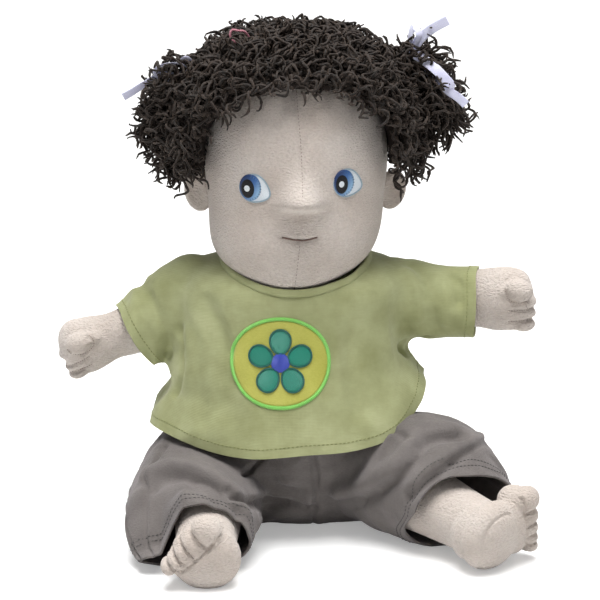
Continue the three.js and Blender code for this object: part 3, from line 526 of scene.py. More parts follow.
def upright(height: Sequence[float], side: Sequence[float], front: Sequence[float], back: Sequence[float],
            steps: int = 50, sides: int = 72, squareness: float = 2.0, grow: float = 0.0,
            middle: Sequence[float] = (0, 0),
            lift: Callable[[Array, Array, Array], Array] | None = None) -> Array:
    """Rings of an upright form.

    Args:
        height: Levels at even steps.
        side: Half widths there.
        front: Reach to the front.
        back: Reach to the back.
        steps: Rings in all.
        sides: Corners of each ring.
        squareness: 2 is an ellipse, more is squarer.
        grow: Added to every reach.
        middle: The middle's offset along Y.
        lift: Rise by t, cosine and sine of the bearing.

    Returns:
        Rings by corners by xyz.
    """
    t = np.linspace(0, 1, steps)[:, None]
    a = np.linspace(0, 2 * math.pi, sides, endpoint=False)[None, :]
    c, d = np.cos(a), np.sin(a)
    across = np.abs(c) / (through(side, t) + grow)
    deep = np.abs(d) / (np.where(d < 0, through(front, t), through(back, t)) + grow)
    reach = (across**squareness + deep**squareness) ** (-1 / squareness)
    z = through(height, t) + (lift(t, c, d) if lift else 0 * a)
    return np.stack([c * reach, d * reach + through(middle, t), z + 0 * a], -1)


# Finishes


class NodeBuilder:
    """Adds nodes to a tree and feeds their inputs."""

    prefix = ""

    def __init__(self, tree: bpy.types.NodeTree) -> None:
        """Works on the given node tree."""
        self.tree = tree

    def node(self, kind: str, values: dict | None = None, **options: object) -> Node:
        """Adds a node.

        Args:
            kind: Its type, without the builder's prefix.
            values: Input values or links by input name or number.
            options: The node's own properties.

        Returns:
            The node.
        """
        made = self.tree.nodes.new(self.prefix + kind)
        for key, value in options.items():
            setattr(made, key, value)
        for key, value in (values or {}).items():
            self.feed(made.inputs[key], value)
        return made

    def feed(self, socket: bpy.types.NodeSocket, value: object) -> None:
        """Links a socket to another, or sets its value."""
        if isinstance(value, bpy.types.NodeSocket):
            self.tree.links.new(value, socket)
        else:
            socket.default_value = value


class Graph(NodeBuilder):
    """Small builder for a material's or a shader group's nodes."""

    prefix = "ShaderNode"

    def math(self, operation: str, a: object, b: object = 0.0) -> bpy.types.NodeSocket:
        """A Math node's result for two inputs."""
        return self.node("Math", {0: a, 1: b}, operation=operation).outputs[0]

    def weighed(self, a: object, share_a: float, b: object, share_b: float) -> bpy.types.NodeSocket:
        """The sum of two values, each times its share."""
        return self.math("ADD", self.math("MULTIPLY", a, share_a), self.math("MULTIPLY", b, share_b))

    def mix(self, share: object, a: object, b: object, blend: str = "MIX") -> bpy.types.NodeSocket:
        """A colour mix's result."""
        made = self.node("Mix", data_type="RGBA", blend_type=blend)
        self.feed(made.inputs[0], share)
        self.feed(made.inputs[6], a)
        self.feed(made.inputs[7], b)
        return made.outputs[2]

    def noise(self, place: object, scale: float, detail: float = 2.0,
              rough: float = 0.5) -> bpy.types.NodeSocket:
        """Noise from 0 to 1 at a place, scale in cells per metre."""
        return self.node("TexNoise",
                         {"Vector": place, "Scale": scale, "Detail": detail, "Roughness": rough}).outputs[0]

    def ramp(self, value: object, low: float, high: float) -> bpy.types.NodeSocket:
        """Maps low..high to 0..1, clamped."""
        return self.node("MapRange", {0: value, 1: low, 2: high, 3: 0.0, 4: 1.0}).outputs[0]

    def stretched(self, place: object, scale: Sequence[float],
                  turn: Sequence[float] = (0, 0, 0)) -> bpy.types.NodeSocket:
        """The place, turned and stretched per axis."""
        return self.node("Mapping", {"Vector": place, "Scale": scale, "Rotation": turn}).outputs[0]


def rgb(code: str) -> tuple[float, float, float, float]:
    """Linear colour of an sRGB hex code."""
    parts = [int(code[i:i + 2], 16) / 255 for i in (1, 3, 5)]
    lin = [c / 12.92 if c <= 0.04045 else ((c + 0.055) / 1.055) ** 2.4 for c in parts]
    return (*lin, 1.0)


def blank_material(name: str, shown: str) -> tuple[bpy.types.Material, Graph, Node]:
    """New node material in a plain viewport colour, with a builder for its nodes and its shader."""
    made = bpy.data.materials.new(name)
    made.use_nodes = True
    made.diffuse_color = rgb(shown)
    return made, Graph(made.node_tree), made.node_tree.nodes["Principled BSDF"]


def effect_group(name: str, inputs: dict[str, float | tuple], outputs: Sequence[str],
                 fill: Callable[[Graph, Node, Node], None]) -> bpy.types.NodeTree:
    """Shader node group of a shared effect.

    Args:
        name: The group's name.
        inputs: Input names with their defaults; a tuple of 4 is a colour, of 3 a vector.
        outputs: Output names; one that ends in Colour is a colour.
        fill: Builds the nodes between the group's input and output.

    Returns:
        The group.
    """
    tree = bpy.data.node_groups.new(name, "ShaderNodeTree")
    kinds = {3: "NodeSocketVector", 4: "NodeSocketColor"}
    for key, value in inputs.items():
        kind = kinds[len(value)] if isinstance(value, tuple) else "NodeSocketFloat"
        socket = tree.interface.new_socket(key, in_out="INPUT", socket_type=kind)
        socket.default_value = value
    for key in outputs:
        kind = "NodeSocketColor" if key.endswith("Colour") else "NodeSocketFloat"
        tree.interface.new_socket(key, in_out="OUTPUT", socket_type=kind)
    fill(Graph(tree), tree.nodes.new("NodeGroupInput"), tree.nodes.new("NodeGroupOutput"))
    return tree


# The last colour and number are the painted shade of the pile's hollows and how strongly it is laid on.
NAP_INPUTS = {"Place": (0.0, 0.0, 0.0), "Dark": (0.5, 0.5, 0.5, 1.0), "Light": (0.6, 0.6, 0.6, 1.0),
              "Speck": (0.4, 0.4, 0.4, 1.0), "Grain": 0.3}
NAP_OUTPUTS = ("Colour", "Height", "Brushed")


def pile_effect() -> bpy.types.NodeTree:
    """Brushed cloth: fine fibres whose low parts are painted darker as shade in the pile's hollows, larger
    brushed patches and a worn tint.
    """

    def fill(g: Graph, given: Node, out: Node) -> None:
        place = given.outputs["Place"]
        fine = g.noise(place, 1900, 3, 0.7)
        fibre = g.noise(g.stretched(place, (1, 1, 2.4)), 620, 3, 0.65)
        patch = g.noise(place, 46, 3, 0.55)
        cloud = g.noise(place, 17, 2, 0.5)
        brushed = g.ramp(g.weighed(patch, 0.6, cloud, 0.4), 0.36, 0.62)
        shade = g.mix(brushed, given.outputs["Dark"], given.outputs["Light"])
        # The fibres' height picks their colour: low fibres take the darker colour as painted shade in the
        # pile's hollows, high ones the light colour.
        speck = g.ramp(g.weighed(fine, 0.5, fibre, 0.5), 0.34, 0.68)
        grain = g.mix(speck, given.outputs["Speck"], given.outputs["Light"])
        g.feed(out.inputs["Colour"], g.mix(given.outputs["Grain"], shade, grain))
        g.feed(out.inputs["Height"], g.weighed(fine, 0.45, fibre, 0.55))
        g.feed(out.inputs["Brushed"], brushed)

    return effect_group("brushed_pile", NAP_INPUTS, NAP_OUTPUTS, fill)


def fleece_effect() -> bpy.types.NodeTree:
    """Napped fleece: pebbled curls of pile over a millimetre across, painted shade in the hollows between
    them, and worn patches.
    """

    def fill(g: Graph, given: Node, out: Node) -> None:
        place = given.outputs["Place"]
        curl = g.ramp(g.noise(g.stretched(place, (1, 1, 1.7)), 620, 2, 0.6), 0.34, 0.66)
        fine = g.noise(place, 1500, 3, 0.7)
        cloud = g.ramp(g.noise(place, 24, 3, 0.5), 0.36, 0.64)
        shade = g.mix(cloud, given.outputs["Dark"], given.outputs["Light"])
        nap = g.weighed(curl, 0.7, fine, 0.3)
        # Where the nap lies low it takes the darker colour: painted shade in the hollows between the curls.
        hollow = g.math("MULTIPLY", g.math("SUBTRACT", 1.0, nap), given.outputs["Grain"])
        g.feed(out.inputs["Colour"], g.mix(hollow, shade, given.outputs["Speck"]))
        g.feed(out.inputs["Height"], nap)
        g.feed(out.inputs["Brushed"], cloud)

    return effect_group("napped_fleece", NAP_INPUTS, NAP_OUTPUTS, fill)


def knit_effect() -> bpy.types.NodeTree:
    """Fine jersey: rows of tiny stitches whose low parts are painted darker as shade, uneven dye and soft
    fluff.
    """

    def fill(g: Graph, given: Node, out: Node) -> None:
        place = given.outputs["Place"]
        rows = g.node("TexWave",
                      {"Vector": place, "Scale": 400, "Distortion": 1.2, "Detail": 2, "Detail Scale": 2.2},
                      wave_type="BANDS", bands_direction="Z").outputs[1]
        wales = g.node("TexWave", {"Vector": place, "Scale": 420, "Distortion": 1.4, "Detail": 1},
                       wave_type="BANDS", bands_direction="X").outputs[1]
        streak = g.noise(g.stretched(place, (0.35, 0.35, 3.2)), 420, 3, 0.6)
        dye = g.noise(place, 60, 4, 0.6)
        wide = g.noise(place, 14, 2, 0.5)
        uneven = g.ramp(g.weighed(dye, 0.5, wide, 0.5), 0.35, 0.65)
        base = g.mix(uneven, given.outputs["Dark"], given.outputs["Light"])
        loops = g.weighed(rows, 0.55, wales, 0.45)
        lines = g.ramp(g.weighed(streak, 0.7, loops, 0.3), 0.25, 0.75)
        # Where the stitch rows and streaks lie low the colour goes to the dark one: painted shade in the
        # knit's hollows.
        g.feed(out.inputs["Colour"],
               g.mix(g.math("MULTIPLY", g.math("SUBTRACT", 1.0, lines), given.outputs["Grain"]),
                                           base, given.outputs["Dark"]))
        g.feed(out.inputs["Height"], g.weighed(loops, 0.7, streak, 0.6))

    # The last number says how strongly the knit's hollows are painted dark as shade.
    inputs = {"Place": (0.0, 0.0, 0.0), "Dark": (0.5, 0.5, 0.5, 1.0), "Light": (0.6, 0.6, 0.6, 1.0),
              "Grain": 0.5}
    return effect_group("fine_knit", inputs, ("Colour", "Height"), fill)


def thread_effect() -> bpy.types.NodeTree:
    """Satin stitches: parallel threads across a band that is mapped by the piece's UV map."""

    def fill(g: Graph, given: Node, out: Node) -> None:
        lanes = g.node("TexWave", {"Vector": given.outputs["Place"], "Scale": given.outputs["Threads"],
                                   "Distortion": 0.5, "Detail": 1}, wave_type="BANDS",
                       bands_direction="X").outputs[1]
        fluff = g.noise(g.stretched(given.outputs["Place"], (6.0, 1.0, 1.0)), 30, 3, 0.6)
        height = g.weighed(lanes, 0.8, fluff, 0.4)
        # The threads' height picks the colour: their tops take the light colour and the gaps between them the
        # dark one, as painted highlight and shade.
        g.feed(out.inputs["Colour"],
               g.mix(g.ramp(height, 0.15, 0.85), given.outputs["Dark"], given.outputs["Light"]))
        g.feed(out.inputs["Height"], height)

    inputs = {"Place": (0.0, 0.0, 0.0), "Dark": (0.3, 0.3, 0.3, 1.0), "Light": (0.6, 0.6, 0.6, 1.0),
              "Threads": 20.0}
    return effect_group("satin_stitch", inputs, ("Colour", "Height"), fill)


EFFECTS: dict[str, bpy.types.NodeTree] = {
    "pile": pile_effect(),
    "fleece": fleece_effect(),
    "knit": knit_effect(),
    "thread": thread_effect(),
}


class Finish(Protocol):
    """A named finish that makes its own material."""

    name: str

    def material(self) -> bpy.types.Material:
        """The finish's node material."""


@dataclass(frozen=True)
class Cloth:
    """A cloth finish: its colours, weave effect, relief and sheen."""

    name: str
    effect: str
    dark: str
    light: str
    # Colour of the painted shade in the cloth's hollows, and how strongly it is laid on
    speck: str = "#808080"
    grain: float = 0.3
    relief: float = 0.35
    roughness: float = 0.92
    sheen: float = 0.25
    sheen_tint: str = "#ffffff"
    specular: float = 0.25
    depth: float = 0.0009

    def material(self) -> bpy.types.Material:
        """The node material of this cloth."""
        made, g, shader = blank_material(self.name, self.light)
        place = g.node("TexCoord").outputs["Object"]
        group = g.node("Group", node_tree=EFFECTS[self.effect])
        # Besides the cloth's own colours, the effect gets the painted shade for the weave's hollows and its
        # strength.
        for key, value in {"Place": place, "Dark": rgb(self.dark), "Light": rgb(self.light),
                           "Speck": rgb(self.speck), "Grain": self.grain}.items():
            if key in group.inputs:
                g.feed(group.inputs[key], value)
        bump = g.node("Bump",
                      {"Strength": self.relief, "Distance": self.depth, "Height": group.outputs["Height"]})
        g.feed(shader.inputs["Base Color"], group.outputs["Colour"])
        g.feed(shader.inputs["Normal"], bump.outputs[0])
        rough = g.math("ADD", g.math("MULTIPLY", group.outputs["Height"], 0.08), self.roughness - 0.06)
        g.feed(shader.inputs["Roughness"], rough)
        shader.inputs["Sheen Weight"].default_value = self.sheen
        shader.inputs["Sheen Roughness"].default_value = 0.5
        shader.inputs["Sheen Tint"].default_value = rgb(self.sheen_tint)
        shader.inputs["Specular IOR Level"].default_value = self.specular
        return made


@dataclass(frozen=True)
class Thread:
    """An embroidery or satin finish whose threads follow the piece's UV map."""

    name: str
    dark: str
    light: str
    threads: float = 20.0
    relief: float = 0.5
    roughness: float = 0.42
    sheen: float = 0.1
    specular: float = 0.5

    def material(self) -> bpy.types.Material:
        """The node material of this thread."""
        made, g, shader = blank_material(self.name, self.light)
        place = g.node("TexCoord").outputs["UV"]
        group = g.node("Group", node_tree=EFFECTS["thread"])
        for key, value in {"Place": place, "Dark": rgb(self.dark), "Light": rgb(self.light),
                           "Threads": self.threads}.items():
            g.feed(group.inputs[key], value)
        bump = g.node("Bump",
                      {"Strength": self.relief, "Distance": 0.0004, "Height": group.outputs["Height"]})
        g.feed(shader.inputs["Base Color"], group.outputs["Colour"])
        g.feed(shader.inputs["Normal"], bump.outputs[0])
        g.feed(shader.inputs["Roughness"], g.math("SUBTRACT", self.roughness + 0.1,
                                                  g.math("MULTIPLY", group.outputs["Height"], 0.15)))
        shader.inputs["Sheen Weight"].default_value = self.sheen
        shader.inputs["Specular IOR Level"].default_value = self.specular
        return made


# In the finishes below, the third colour and the number after it are the painted shade of the pile's hollows
# and its strength.
SKIN = Cloth("brushed_skin", "fleece", "#cdc0b6", "#dbd1c9", "#9b8d82", 0.36, 1.0, 0.95, 0.3, depth=0.0009)
JERSEY = Cloth("olive_jersey", "knit", "#8b8e62", "#aeb187", grain=0.35, relief=0.25, sheen=0.15)
VELOUR = Cloth("grey_velour", "pile", "#5a5552", "#7d7774", "#4a4542", 0.35, 0.6, 0.95, 0.4, "#b8b4b8",
               depth=0.0012)
PATCH_CLOTH = Cloth("patch_cloth", "pile", "#a5a447", "#bfbd62", "#979640", 0.4, 0.4, 0.9, 0.2)
TAPE = Cloth("closure_tape", "pile", "#d5d3cb", "#e6e4dc", "#bdbab0", 0.4, 0.8, 0.9, 0.1)
POUCH_CLOTH = Cloth("pouch_cloth", "knit", "#cfcabd", "#ded9cc", grain=0.4)
YARN_CORE = Cloth("yarn_core", "pile", "#17110e", "#241b17", "#0f0b09", 0.5, 1.0, 1.0, 0.0)
BORDER_SATIN = Thread("green_satin_stitch", "#58a83c", "#93dc6c", 1.0)
TEAL_SATIN = Thread("teal_satin_stitch", "#0d5a4c", "#23987f", 1.0)
DEEP_SATIN = Thread("deep_teal_stitch", "#083f38", "#12695c", 1.0)
BLUE_SATIN = Thread("blue_satin_stitch", "#222f86", "#3a4fc0", 1.0)
EYE_WHITE = Thread("eye_white_thread", "#c3ced6", "#eef3f7", 1.0)
EYE_LINE = Thread("eye_outline_thread", "#6f8795", "#a9bcc8", 1.0)
PUPIL = Thread("pupil_thread", "#020203", "#0b0c10", 1.0, 0.4, 0.5, 0.0, 0.3)
GLINT = Thread("glint_thread", "#b9c4cc", "#f2f6f9", 1.0)
BROWN_THREAD = Thread("brown_thread", "#55423a", "#84695d", 1.0)
SKIN_THREAD = Thread("skin_thread", "#86766b", "#b3a59b", 1.0)
JERSEY_THREAD = Thread("jersey_thread", "#7b7f49", "#a2a768", 1.0)
VELOUR_THREAD = Thread("velour_thread", "#3d3a39", "#5b5755", 1.0)
RIBBON = Thread("lavender_ribbon", "#c3bfee", "#f0f2fd", 1.0, 0.25, 0.3, 0.2)
ELASTIC = Thread("pink_elastic", "#94505e", "#cc8896", 1.0)

MADE: dict[str, bpy.types.Material] = {}


def finish_of(kind: Finish) -> bpy.types.Material:
    """The finish's material, made once."""
    if kind.name not in MADE:
        MADE[kind.name] = kind.material()
    return MADE[kind.name]


def dress(obj: Object, kind: Finish, slot: str, body: str | None, *nodes: str) -> Object:
    """Gives a finished piece its material, body and the CAD nodes it stands for.

    Args:
        obj: The piece.
        kind: Its finish.
        slot: The record's material slot; not used.
        body: The body that it rides on, or None where it blends.
        nodes: CAD nodes that it replaces.

    Returns:
        The same object.
    """
    obj.data.materials.clear()
    obj.data.materials.append(finish_of(kind))
    for polygon in obj.data.polygons:
        polygon.material_index = 0
    if nodes:
        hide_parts(*nodes)
    if body:
        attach(obj, body)
    LOG.info("piece %s: %d faces, %s", obj.name, len(obj.data.polygons), body or "blends")
    return obj


# Repeated stitches and yarn


class NodeForm(NodeBuilder):
    """Geometry Nodes tree with named inputs, run on an object and turned into plain mesh."""

    def __init__(self, name: str, inputs: dict[str, tuple[str, float | int]]) -> None:
        """Makes the tree and its sockets.

        Args:
            name: The tree's name.
            inputs: Socket kind (Float, Int) and default by input name.
        """
        super().__init__(bpy.data.node_groups.new(name, "GeometryNodeTree"))
        self.tree.interface.new_socket("Geometry", in_out="INPUT", socket_type="NodeSocketGeometry")
        for key, (kind, value) in inputs.items():
            socket = self.tree.interface.new_socket(key, in_out="INPUT", socket_type="NodeSocket" + kind)
            socket.default_value = value
        self.tree.interface.new_socket("Material", in_out="INPUT", socket_type="NodeSocketMaterial")
        self.tree.interface.new_socket("Geometry", in_out="OUTPUT", socket_type="NodeSocketGeometry")
        self.given = self.tree.nodes.new("NodeGroupInput")
        self.out = self.tree.nodes.new("NodeGroupOutput")

    def math(self, operation: str, a: object, b: object = 0.0) -> bpy.types.NodeSocket:
        """A Math node's result."""
        return self.node("ShaderNodeMath", {0: a, 1: b}, operation=operation).outputs[0]

    def scaled(self, vector: object, by: object) -> bpy.types.NodeSocket:
        """A vector times a number."""
        made = self.node("ShaderNodeVectorMath", {0: vector}, operation="SCALE")
        self.feed(made.inputs["Scale"], by)
        return made.outputs[0]

    def random(self, low: object, high: object, seed: object, kind: str = "FLOAT") -> bpy.types.NodeSocket:
        """A random value or vector per element."""
        made = self.node("FunctionNodeRandomValue", data_type=kind)
        names = [s for s in made.inputs if s.enabled]
        for socket, value in zip(names, (low, high)):
            self.feed(socket, value)
        self.feed(made.inputs["Seed"], seed)
        return next(s for s in made.outputs if s.enabled)

    def finish(self, geometry: bpy.types.NodeSocket) -> None:
        """Ends the tree in Realize Instances, smooth shading and Set Material."""
        real = self.node("GeometryNodeRealizeInstances", {0: geometry})
        smooth = self.node("GeometryNodeSetShadeSmooth", {0: real.outputs[0]})
        dressed = self.node("GeometryNodeSetMaterial",
                            {0: smooth.outputs[0], "Material": self.given.outputs["Material"]})
        self.tree.links.new(dressed.outputs[0], self.out.inputs[0])

    def run(self, name: str, source: Object, kind: Finish, **values: float) -> Object:
        """Runs the tree on a source object and returns the plain mesh.

        Args:
            name: The new object's name.
            source: Curve or mesh that the tree follows; it is removed.
            kind: The finish for Set Material.
            values: Named inputs, with _ for a space.

        Returns:
            The new mesh object.
        """
        modifier = source.modifiers.new("form", "NODES")
        modifier.node_group = self.tree
        by_name = {s.name: s.identifier for s in self.tree.interface.items_tree if s.in_out == "INPUT"}
        for key, value in values.items():
            modifier[by_name[key.replace("_", " ")]] = value
        modifier[by_name["Material"]] = finish_of(kind)
        bpy.context.view_layer.update()
        mesh = bpy.data.meshes.new_from_object(source.evaluated_get(bpy.context.evaluated_depsgraph_get()))
        source.modifiers.clear()
        bpy.data.objects.remove(source)
        mesh.name = name
        obj = bpy.data.objects.new(name, mesh)
        bpy.context.scene.collection.objects.link(obj)
        return obj


def route_curve(routes: Sequence[Array], closed: bool = False) -> Object:
    """Curve object through routes given in millimetres."""
    data = bpy.data.curves.new("route", "CURVE")
    data.dimensions = "3D"
    for route in routes:
        spline = data.splines.new("POLY")
        spline.points.add(len(route) - 1)
        spline.points.foreach_set("co", np.hstack([route * MM, np.ones((len(route), 1))]).ravel())
        spline.use_cyclic_u = closed
    obj = bpy.data.objects.new("route", data)
    bpy.context.scene.collection.objects.link(obj)
    return obj


def stitch_form() -> NodeForm:
    """Row of short thread stitches along a route."""
    form = NodeForm("stitch_row",
                    {"Pitch": ("Float", 0.0022), "Length": ("Float", 0.0015), "Thread": ("Float", 0.0003)})
    pitch, length, thread = (form.given.outputs[k] for k in ("Pitch", "Length", "Thread"))
    even = form.node("GeometryNodeResampleCurve", {"Curve": form.given.outputs["Geometry"], "Length": pitch},
                     mode="LENGTH")
    tangent = form.node("GeometryNodeInputTangent")
    turn = form.node("FunctionNodeAlignRotationToVector", {"Vector": tangent.outputs[0]}, axis="X")
    ball = form.node("GeometryNodeMeshUVSphere", {"Segments": 6, "Rings": 5, "Radius": 1.0})
    size = form.node("ShaderNodeCombineXYZ", {0: form.math("MULTIPLY", length, 0.5), 1: thread, 2: thread})
    each = form.node("GeometryNodeInstanceOnPoints", {"Points": even.outputs[0], "Instance": ball.outputs[0],
                                                      "Rotation": turn.outputs[0], "Scale": size.outputs[0]})
    form.finish(each.outputs[0])
    return form


def yarn_form() -> NodeForm:
    """Curly yarn ends that stand on a surface, droop, wander and taper."""
    form = NodeForm("curly_yarn", {
        "Density": ("Float", 60000.0), "Reach": ("Float", 0.02), "Curl": ("Float", 0.0028),
        "Turns": ("Float", 1.6),
        "Thickness": ("Float", 0.0013), "Droop": ("Float", 0.006), "Wander": ("Float", 0.006),
        "Lean": ("Float", 0.9),
        "Seed": ("Int", 3),
    })
    given = {k: form.given.outputs[k] for k in ("Geometry", "Density", "Reach", "Curl", "Turns", "Thickness",
                                                 "Droop", "Wander", "Lean", "Seed")}
    spread = form.node("GeometryNodeDistributePointsOnFaces", {
        "Mesh": given["Geometry"], "Distance Min": 0.0021, "Density Max": given["Density"],
        "Seed": given["Seed"],
    }, distribute_method="POISSON")
    curl = form.node("GeometryNodeCurveSpiral", {
        "Resolution": 14, "Rotations": given["Turns"], "Start Radius": 0.0006, "End Radius": given["Curl"],
        "Height": given["Reach"]})
    tilt = form.random((-1.0, -1.0, -1.0), (1.0, 1.0, 1.0), given["Seed"], "FLOAT_VECTOR")
    normal = spread.outputs["Normal"]
    facing = form.node("ShaderNodeVectorMath", {0: tilt, 1: normal}, operation="DOT_PRODUCT").outputs["Value"]
    flat = form.node("ShaderNodeVectorMath", {0: tilt, 1: form.scaled(normal, facing)},
                     operation="SUBTRACT").outputs[0]
    flat = form.node("ShaderNodeVectorMath", {0: flat}, operation="NORMALIZE").outputs[0]
    way = form.node("ShaderNodeVectorMath", {0: normal, 1: form.scaled(flat, given["Lean"])}, operation="ADD")
    turn = form.node("FunctionNodeAlignRotationToVector", {"Vector": way.outputs[0]}, axis="Z")
    spin = form.random(0.0, 6.283, form.math("ADD", given["Seed"], 7.0))
    spun = form.node("FunctionNodeRotateRotation", {"Rotation": turn.outputs[0], "Rotate By": form.node(
        "FunctionNodeAxisAngleToRotation", {"Axis": (0.0, 0.0, 1.0), "Angle": spin}).outputs[0]},
                     rotation_space="LOCAL")
    size = form.random(0.6, 1.25, form.math("ADD", given["Seed"], 13.0))
    shade = form.random(0.0, 1.0, form.math("ADD", given["Seed"], 21.0))
    marked = form.node("GeometryNodeStoreNamedAttribute",
                       {"Geometry": spread.outputs["Points"], "Name": "tone",
                                                           "Value": shade}, data_type="FLOAT", domain="POINT")
    each = form.node("GeometryNodeInstanceOnPoints",
                     {"Points": marked.outputs[0], "Instance": curl.outputs[0],
                                                      "Rotation": spun.outputs[0], "Scale": size})
    real = form.node("GeometryNodeRealizeInstances", {0: each.outputs[0]})
    along = form.node("GeometryNodeSplineParameter").outputs["Factor"]
    place = form.node("GeometryNodeInputPosition").outputs[0]
    noise = form.node("ShaderNodeTexNoise", {"Vector": place, "Scale": 105.0, "Detail": 0.6})
    centred = form.node("ShaderNodeVectorMath", {0: noise.outputs["Color"], 1: (0.5, 0.5, 0.5)},
                        operation="SUBTRACT")
    stray = form.scaled(centred.outputs[0],
                        form.math("MULTIPLY", given["Wander"], form.math("MULTIPLY", along, 2.0)))
    fall = form.node("ShaderNodeCombineXYZ", {2: form.math("MULTIPLY", form.math("MULTIPLY", along, along),
                                                           form.math("MULTIPLY", given["Droop"], -1.0))})
    shift = form.node("ShaderNodeVectorMath", {0: stray, 1: fall.outputs[0]}, operation="ADD")
    moved = form.node("GeometryNodeSetPosition", {"Geometry": real.outputs[0], "Offset": shift.outputs[0]})
    slim = form.node("ShaderNodeMapRange", {0: along, 1: 0.82, 2: 1.0, 3: 1.0, 4: 0.45}).outputs[0]
    puff = form.node("ShaderNodeTexNoise", {"Vector": place, "Scale": 520.0, "Detail": 0.0}).outputs[0]
    puffed = form.node("ShaderNodeMapRange", {0: puff, 1: 0.3, 2: 0.7, 3: 0.75, 4: 1.25}).outputs[0]
    radius = form.math("MULTIPLY", form.math("MULTIPLY", slim, puffed), given["Thickness"])
    sized = form.node("GeometryNodeSetCurveRadius", {"Curve": moved.outputs[0], "Radius": radius})
    ring = form.node("GeometryNodeCurvePrimitiveCircle", {"Resolution": 5, "Radius": 1.0})
    solid = form.node("GeometryNodeCurveToMesh", {"Curve": sized.outputs[0], "Profile Curve": ring.outputs[0],
                                                  "Fill Caps": True})
    if "Scale" in solid.inputs:
        form.tree.links.new(radius, solid.inputs["Scale"])
    form.finish(solid.outputs[0])
    return form


STITCHES = stitch_form()
YARN = yarn_form()


@dataclass(frozen=True)
class Yarn:
    """Chenille yarn: dark, another tone for each end, with pale flecks on its high fuzz painted as
    highlights.
    """

    name: str
    deep: str
    mid: str
    # Colour of the painted highlights on the fuzz
    pale: str

    def material(self) -> bpy.types.Material:
        """The node material of this yarn."""
        made, g, shader = blank_material(self.name, self.mid)
        tone = g.node("Attribute", attribute_name="tone").outputs["Fac"]
        place = g.node("TexCoord").outputs["Object"]
        fuzz = g.noise(place, 1500, 2, 0.7)
        flick = g.noise(place, 330, 2, 0.6)
        base = g.mix(g.ramp(tone, 0.0, 1.0), rgb(self.deep), rgb(self.mid))
        # Pale flecks where the fuzz stands high: painted highlights on the yarn's pile.
        lit = g.math("MULTIPLY", g.ramp(fuzz, 0.45, 0.75), g.ramp(flick, 0.42, 0.66))
        g.feed(shader.inputs["Base Color"], g.mix(lit, base, rgb(self.pale)))
        bump = g.node("Bump", {"Strength": 0.8, "Distance": 0.0005, "Height": fuzz})
        g.feed(shader.inputs["Normal"], bump.outputs[0])
        g.feed(shader.inputs["Roughness"], g.math("ADD", 0.62, g.math("MULTIPLY", fuzz, 0.2)))
        shader.inputs["Sheen Weight"].default_value = 0.25
        shader.inputs["Sheen Tint"].default_value = rgb("#b8a08c")
        shader.inputs["Specular IOR Level"].default_value = 0.35
        return made


# The third colour is the painted highlight on the yarn's fuzz.
HAIR_YARN = Yarn("brown_chenille", "#090605", "#1d1511", "#4c3c32")


HEM_STITCH = (2.5, 1.9, 0.3)


def stitch_row(name: str, routes: Sequence[Array], kind: Thread, sizes: tuple[float, float, float], slot: str,
               body: str, closed: bool = False) -> Object:
    """Dressed row of stitches.

    Args:
        name: The piece's name.
        routes: The rows' middle lines, mm.
        kind: The thread.
        sizes: Pitch, length and half thickness of a stitch, mm.
        slot: The record's material slot.
        body: The body that it rides on.
        closed: Whether each row's ends join.

    Returns:
        The piece.
    """
    pitch, length, thread = (size * MM for size in sizes)
    marks = STITCHES.run(name, route_curve(routes, closed), kind, Pitch=pitch, Length=length, Thread=thread)
    return dress(marks, kind, slot, body)


def ahead_of(route: Array, closed: bool) -> Array:
    """Direction of a route at each of its points."""
    ahead = np.roll(route, -1, 0) - np.roll(route, 1, 0)
    if not closed:
        ahead[0], ahead[-1] = route[1] - route[0], route[-1] - route[-2]
    return unit(ahead)


def cord_of(route: Array, radius: float, sides: int = 8, closed: bool = False) -> Shape:
    """Round thread along a route, sizes in mm."""
    ahead = ahead_of(route, closed)
    side = unit(np.cross(ahead, np.array([0.13, -0.86, 0.49])))
    up = np.cross(side, ahead)
    a = np.linspace(0, 2 * math.pi, sides, endpoint=False)
    section = np.cos(a)[None, :, None] * side[:, None] + np.sin(a)[None, :, None] * up[:, None]
    rings = route[:, None] + radius * section
    return wrapped(rings) if closed else skin_of(rings)


def with_uv(obj: Object, uv: Array) -> Object:
    """Sets the piece's UV map from one pair per point."""
    layer = obj.data.uv_layers.new(name="threads")
    index = np.empty(len(obj.data.loops), int)
    obj.data.loops.foreach_get("vertex_index", index)
    layer.data.foreach_set("uv", uv[index].astype(float).ravel())
    return obj


def thread_piece(name: str, cords: Sequence[Shape], kind: Finish, slot: str, body: str,
                 *nodes: str) -> Object:
    """Dressed piece of round threads; its UV map runs bands across them."""
    obj = new_mesh(name, cords)
    p = points_of(obj)
    with_uv(obj, np.stack([p[:, 0] + 0.7 * p[:, 2] + 0.4 * p[:, 1], p[:, 1]], 1))
    return dress(obj, kind, slot, body, *nodes)


def wrapped(rings: Array) -> Shape:
    """Skin over rings that also join last to first, like a ring's own surface."""
    n, sides, _ = rings.shape
    points, faces = skin_of(rings, closed=False)
    faces += [((n - 1) * sides + s, (n - 1) * sides + (s + 1) % sides, (s + 1) % sides, s)
              for s in range(sides)]
    return points, faces


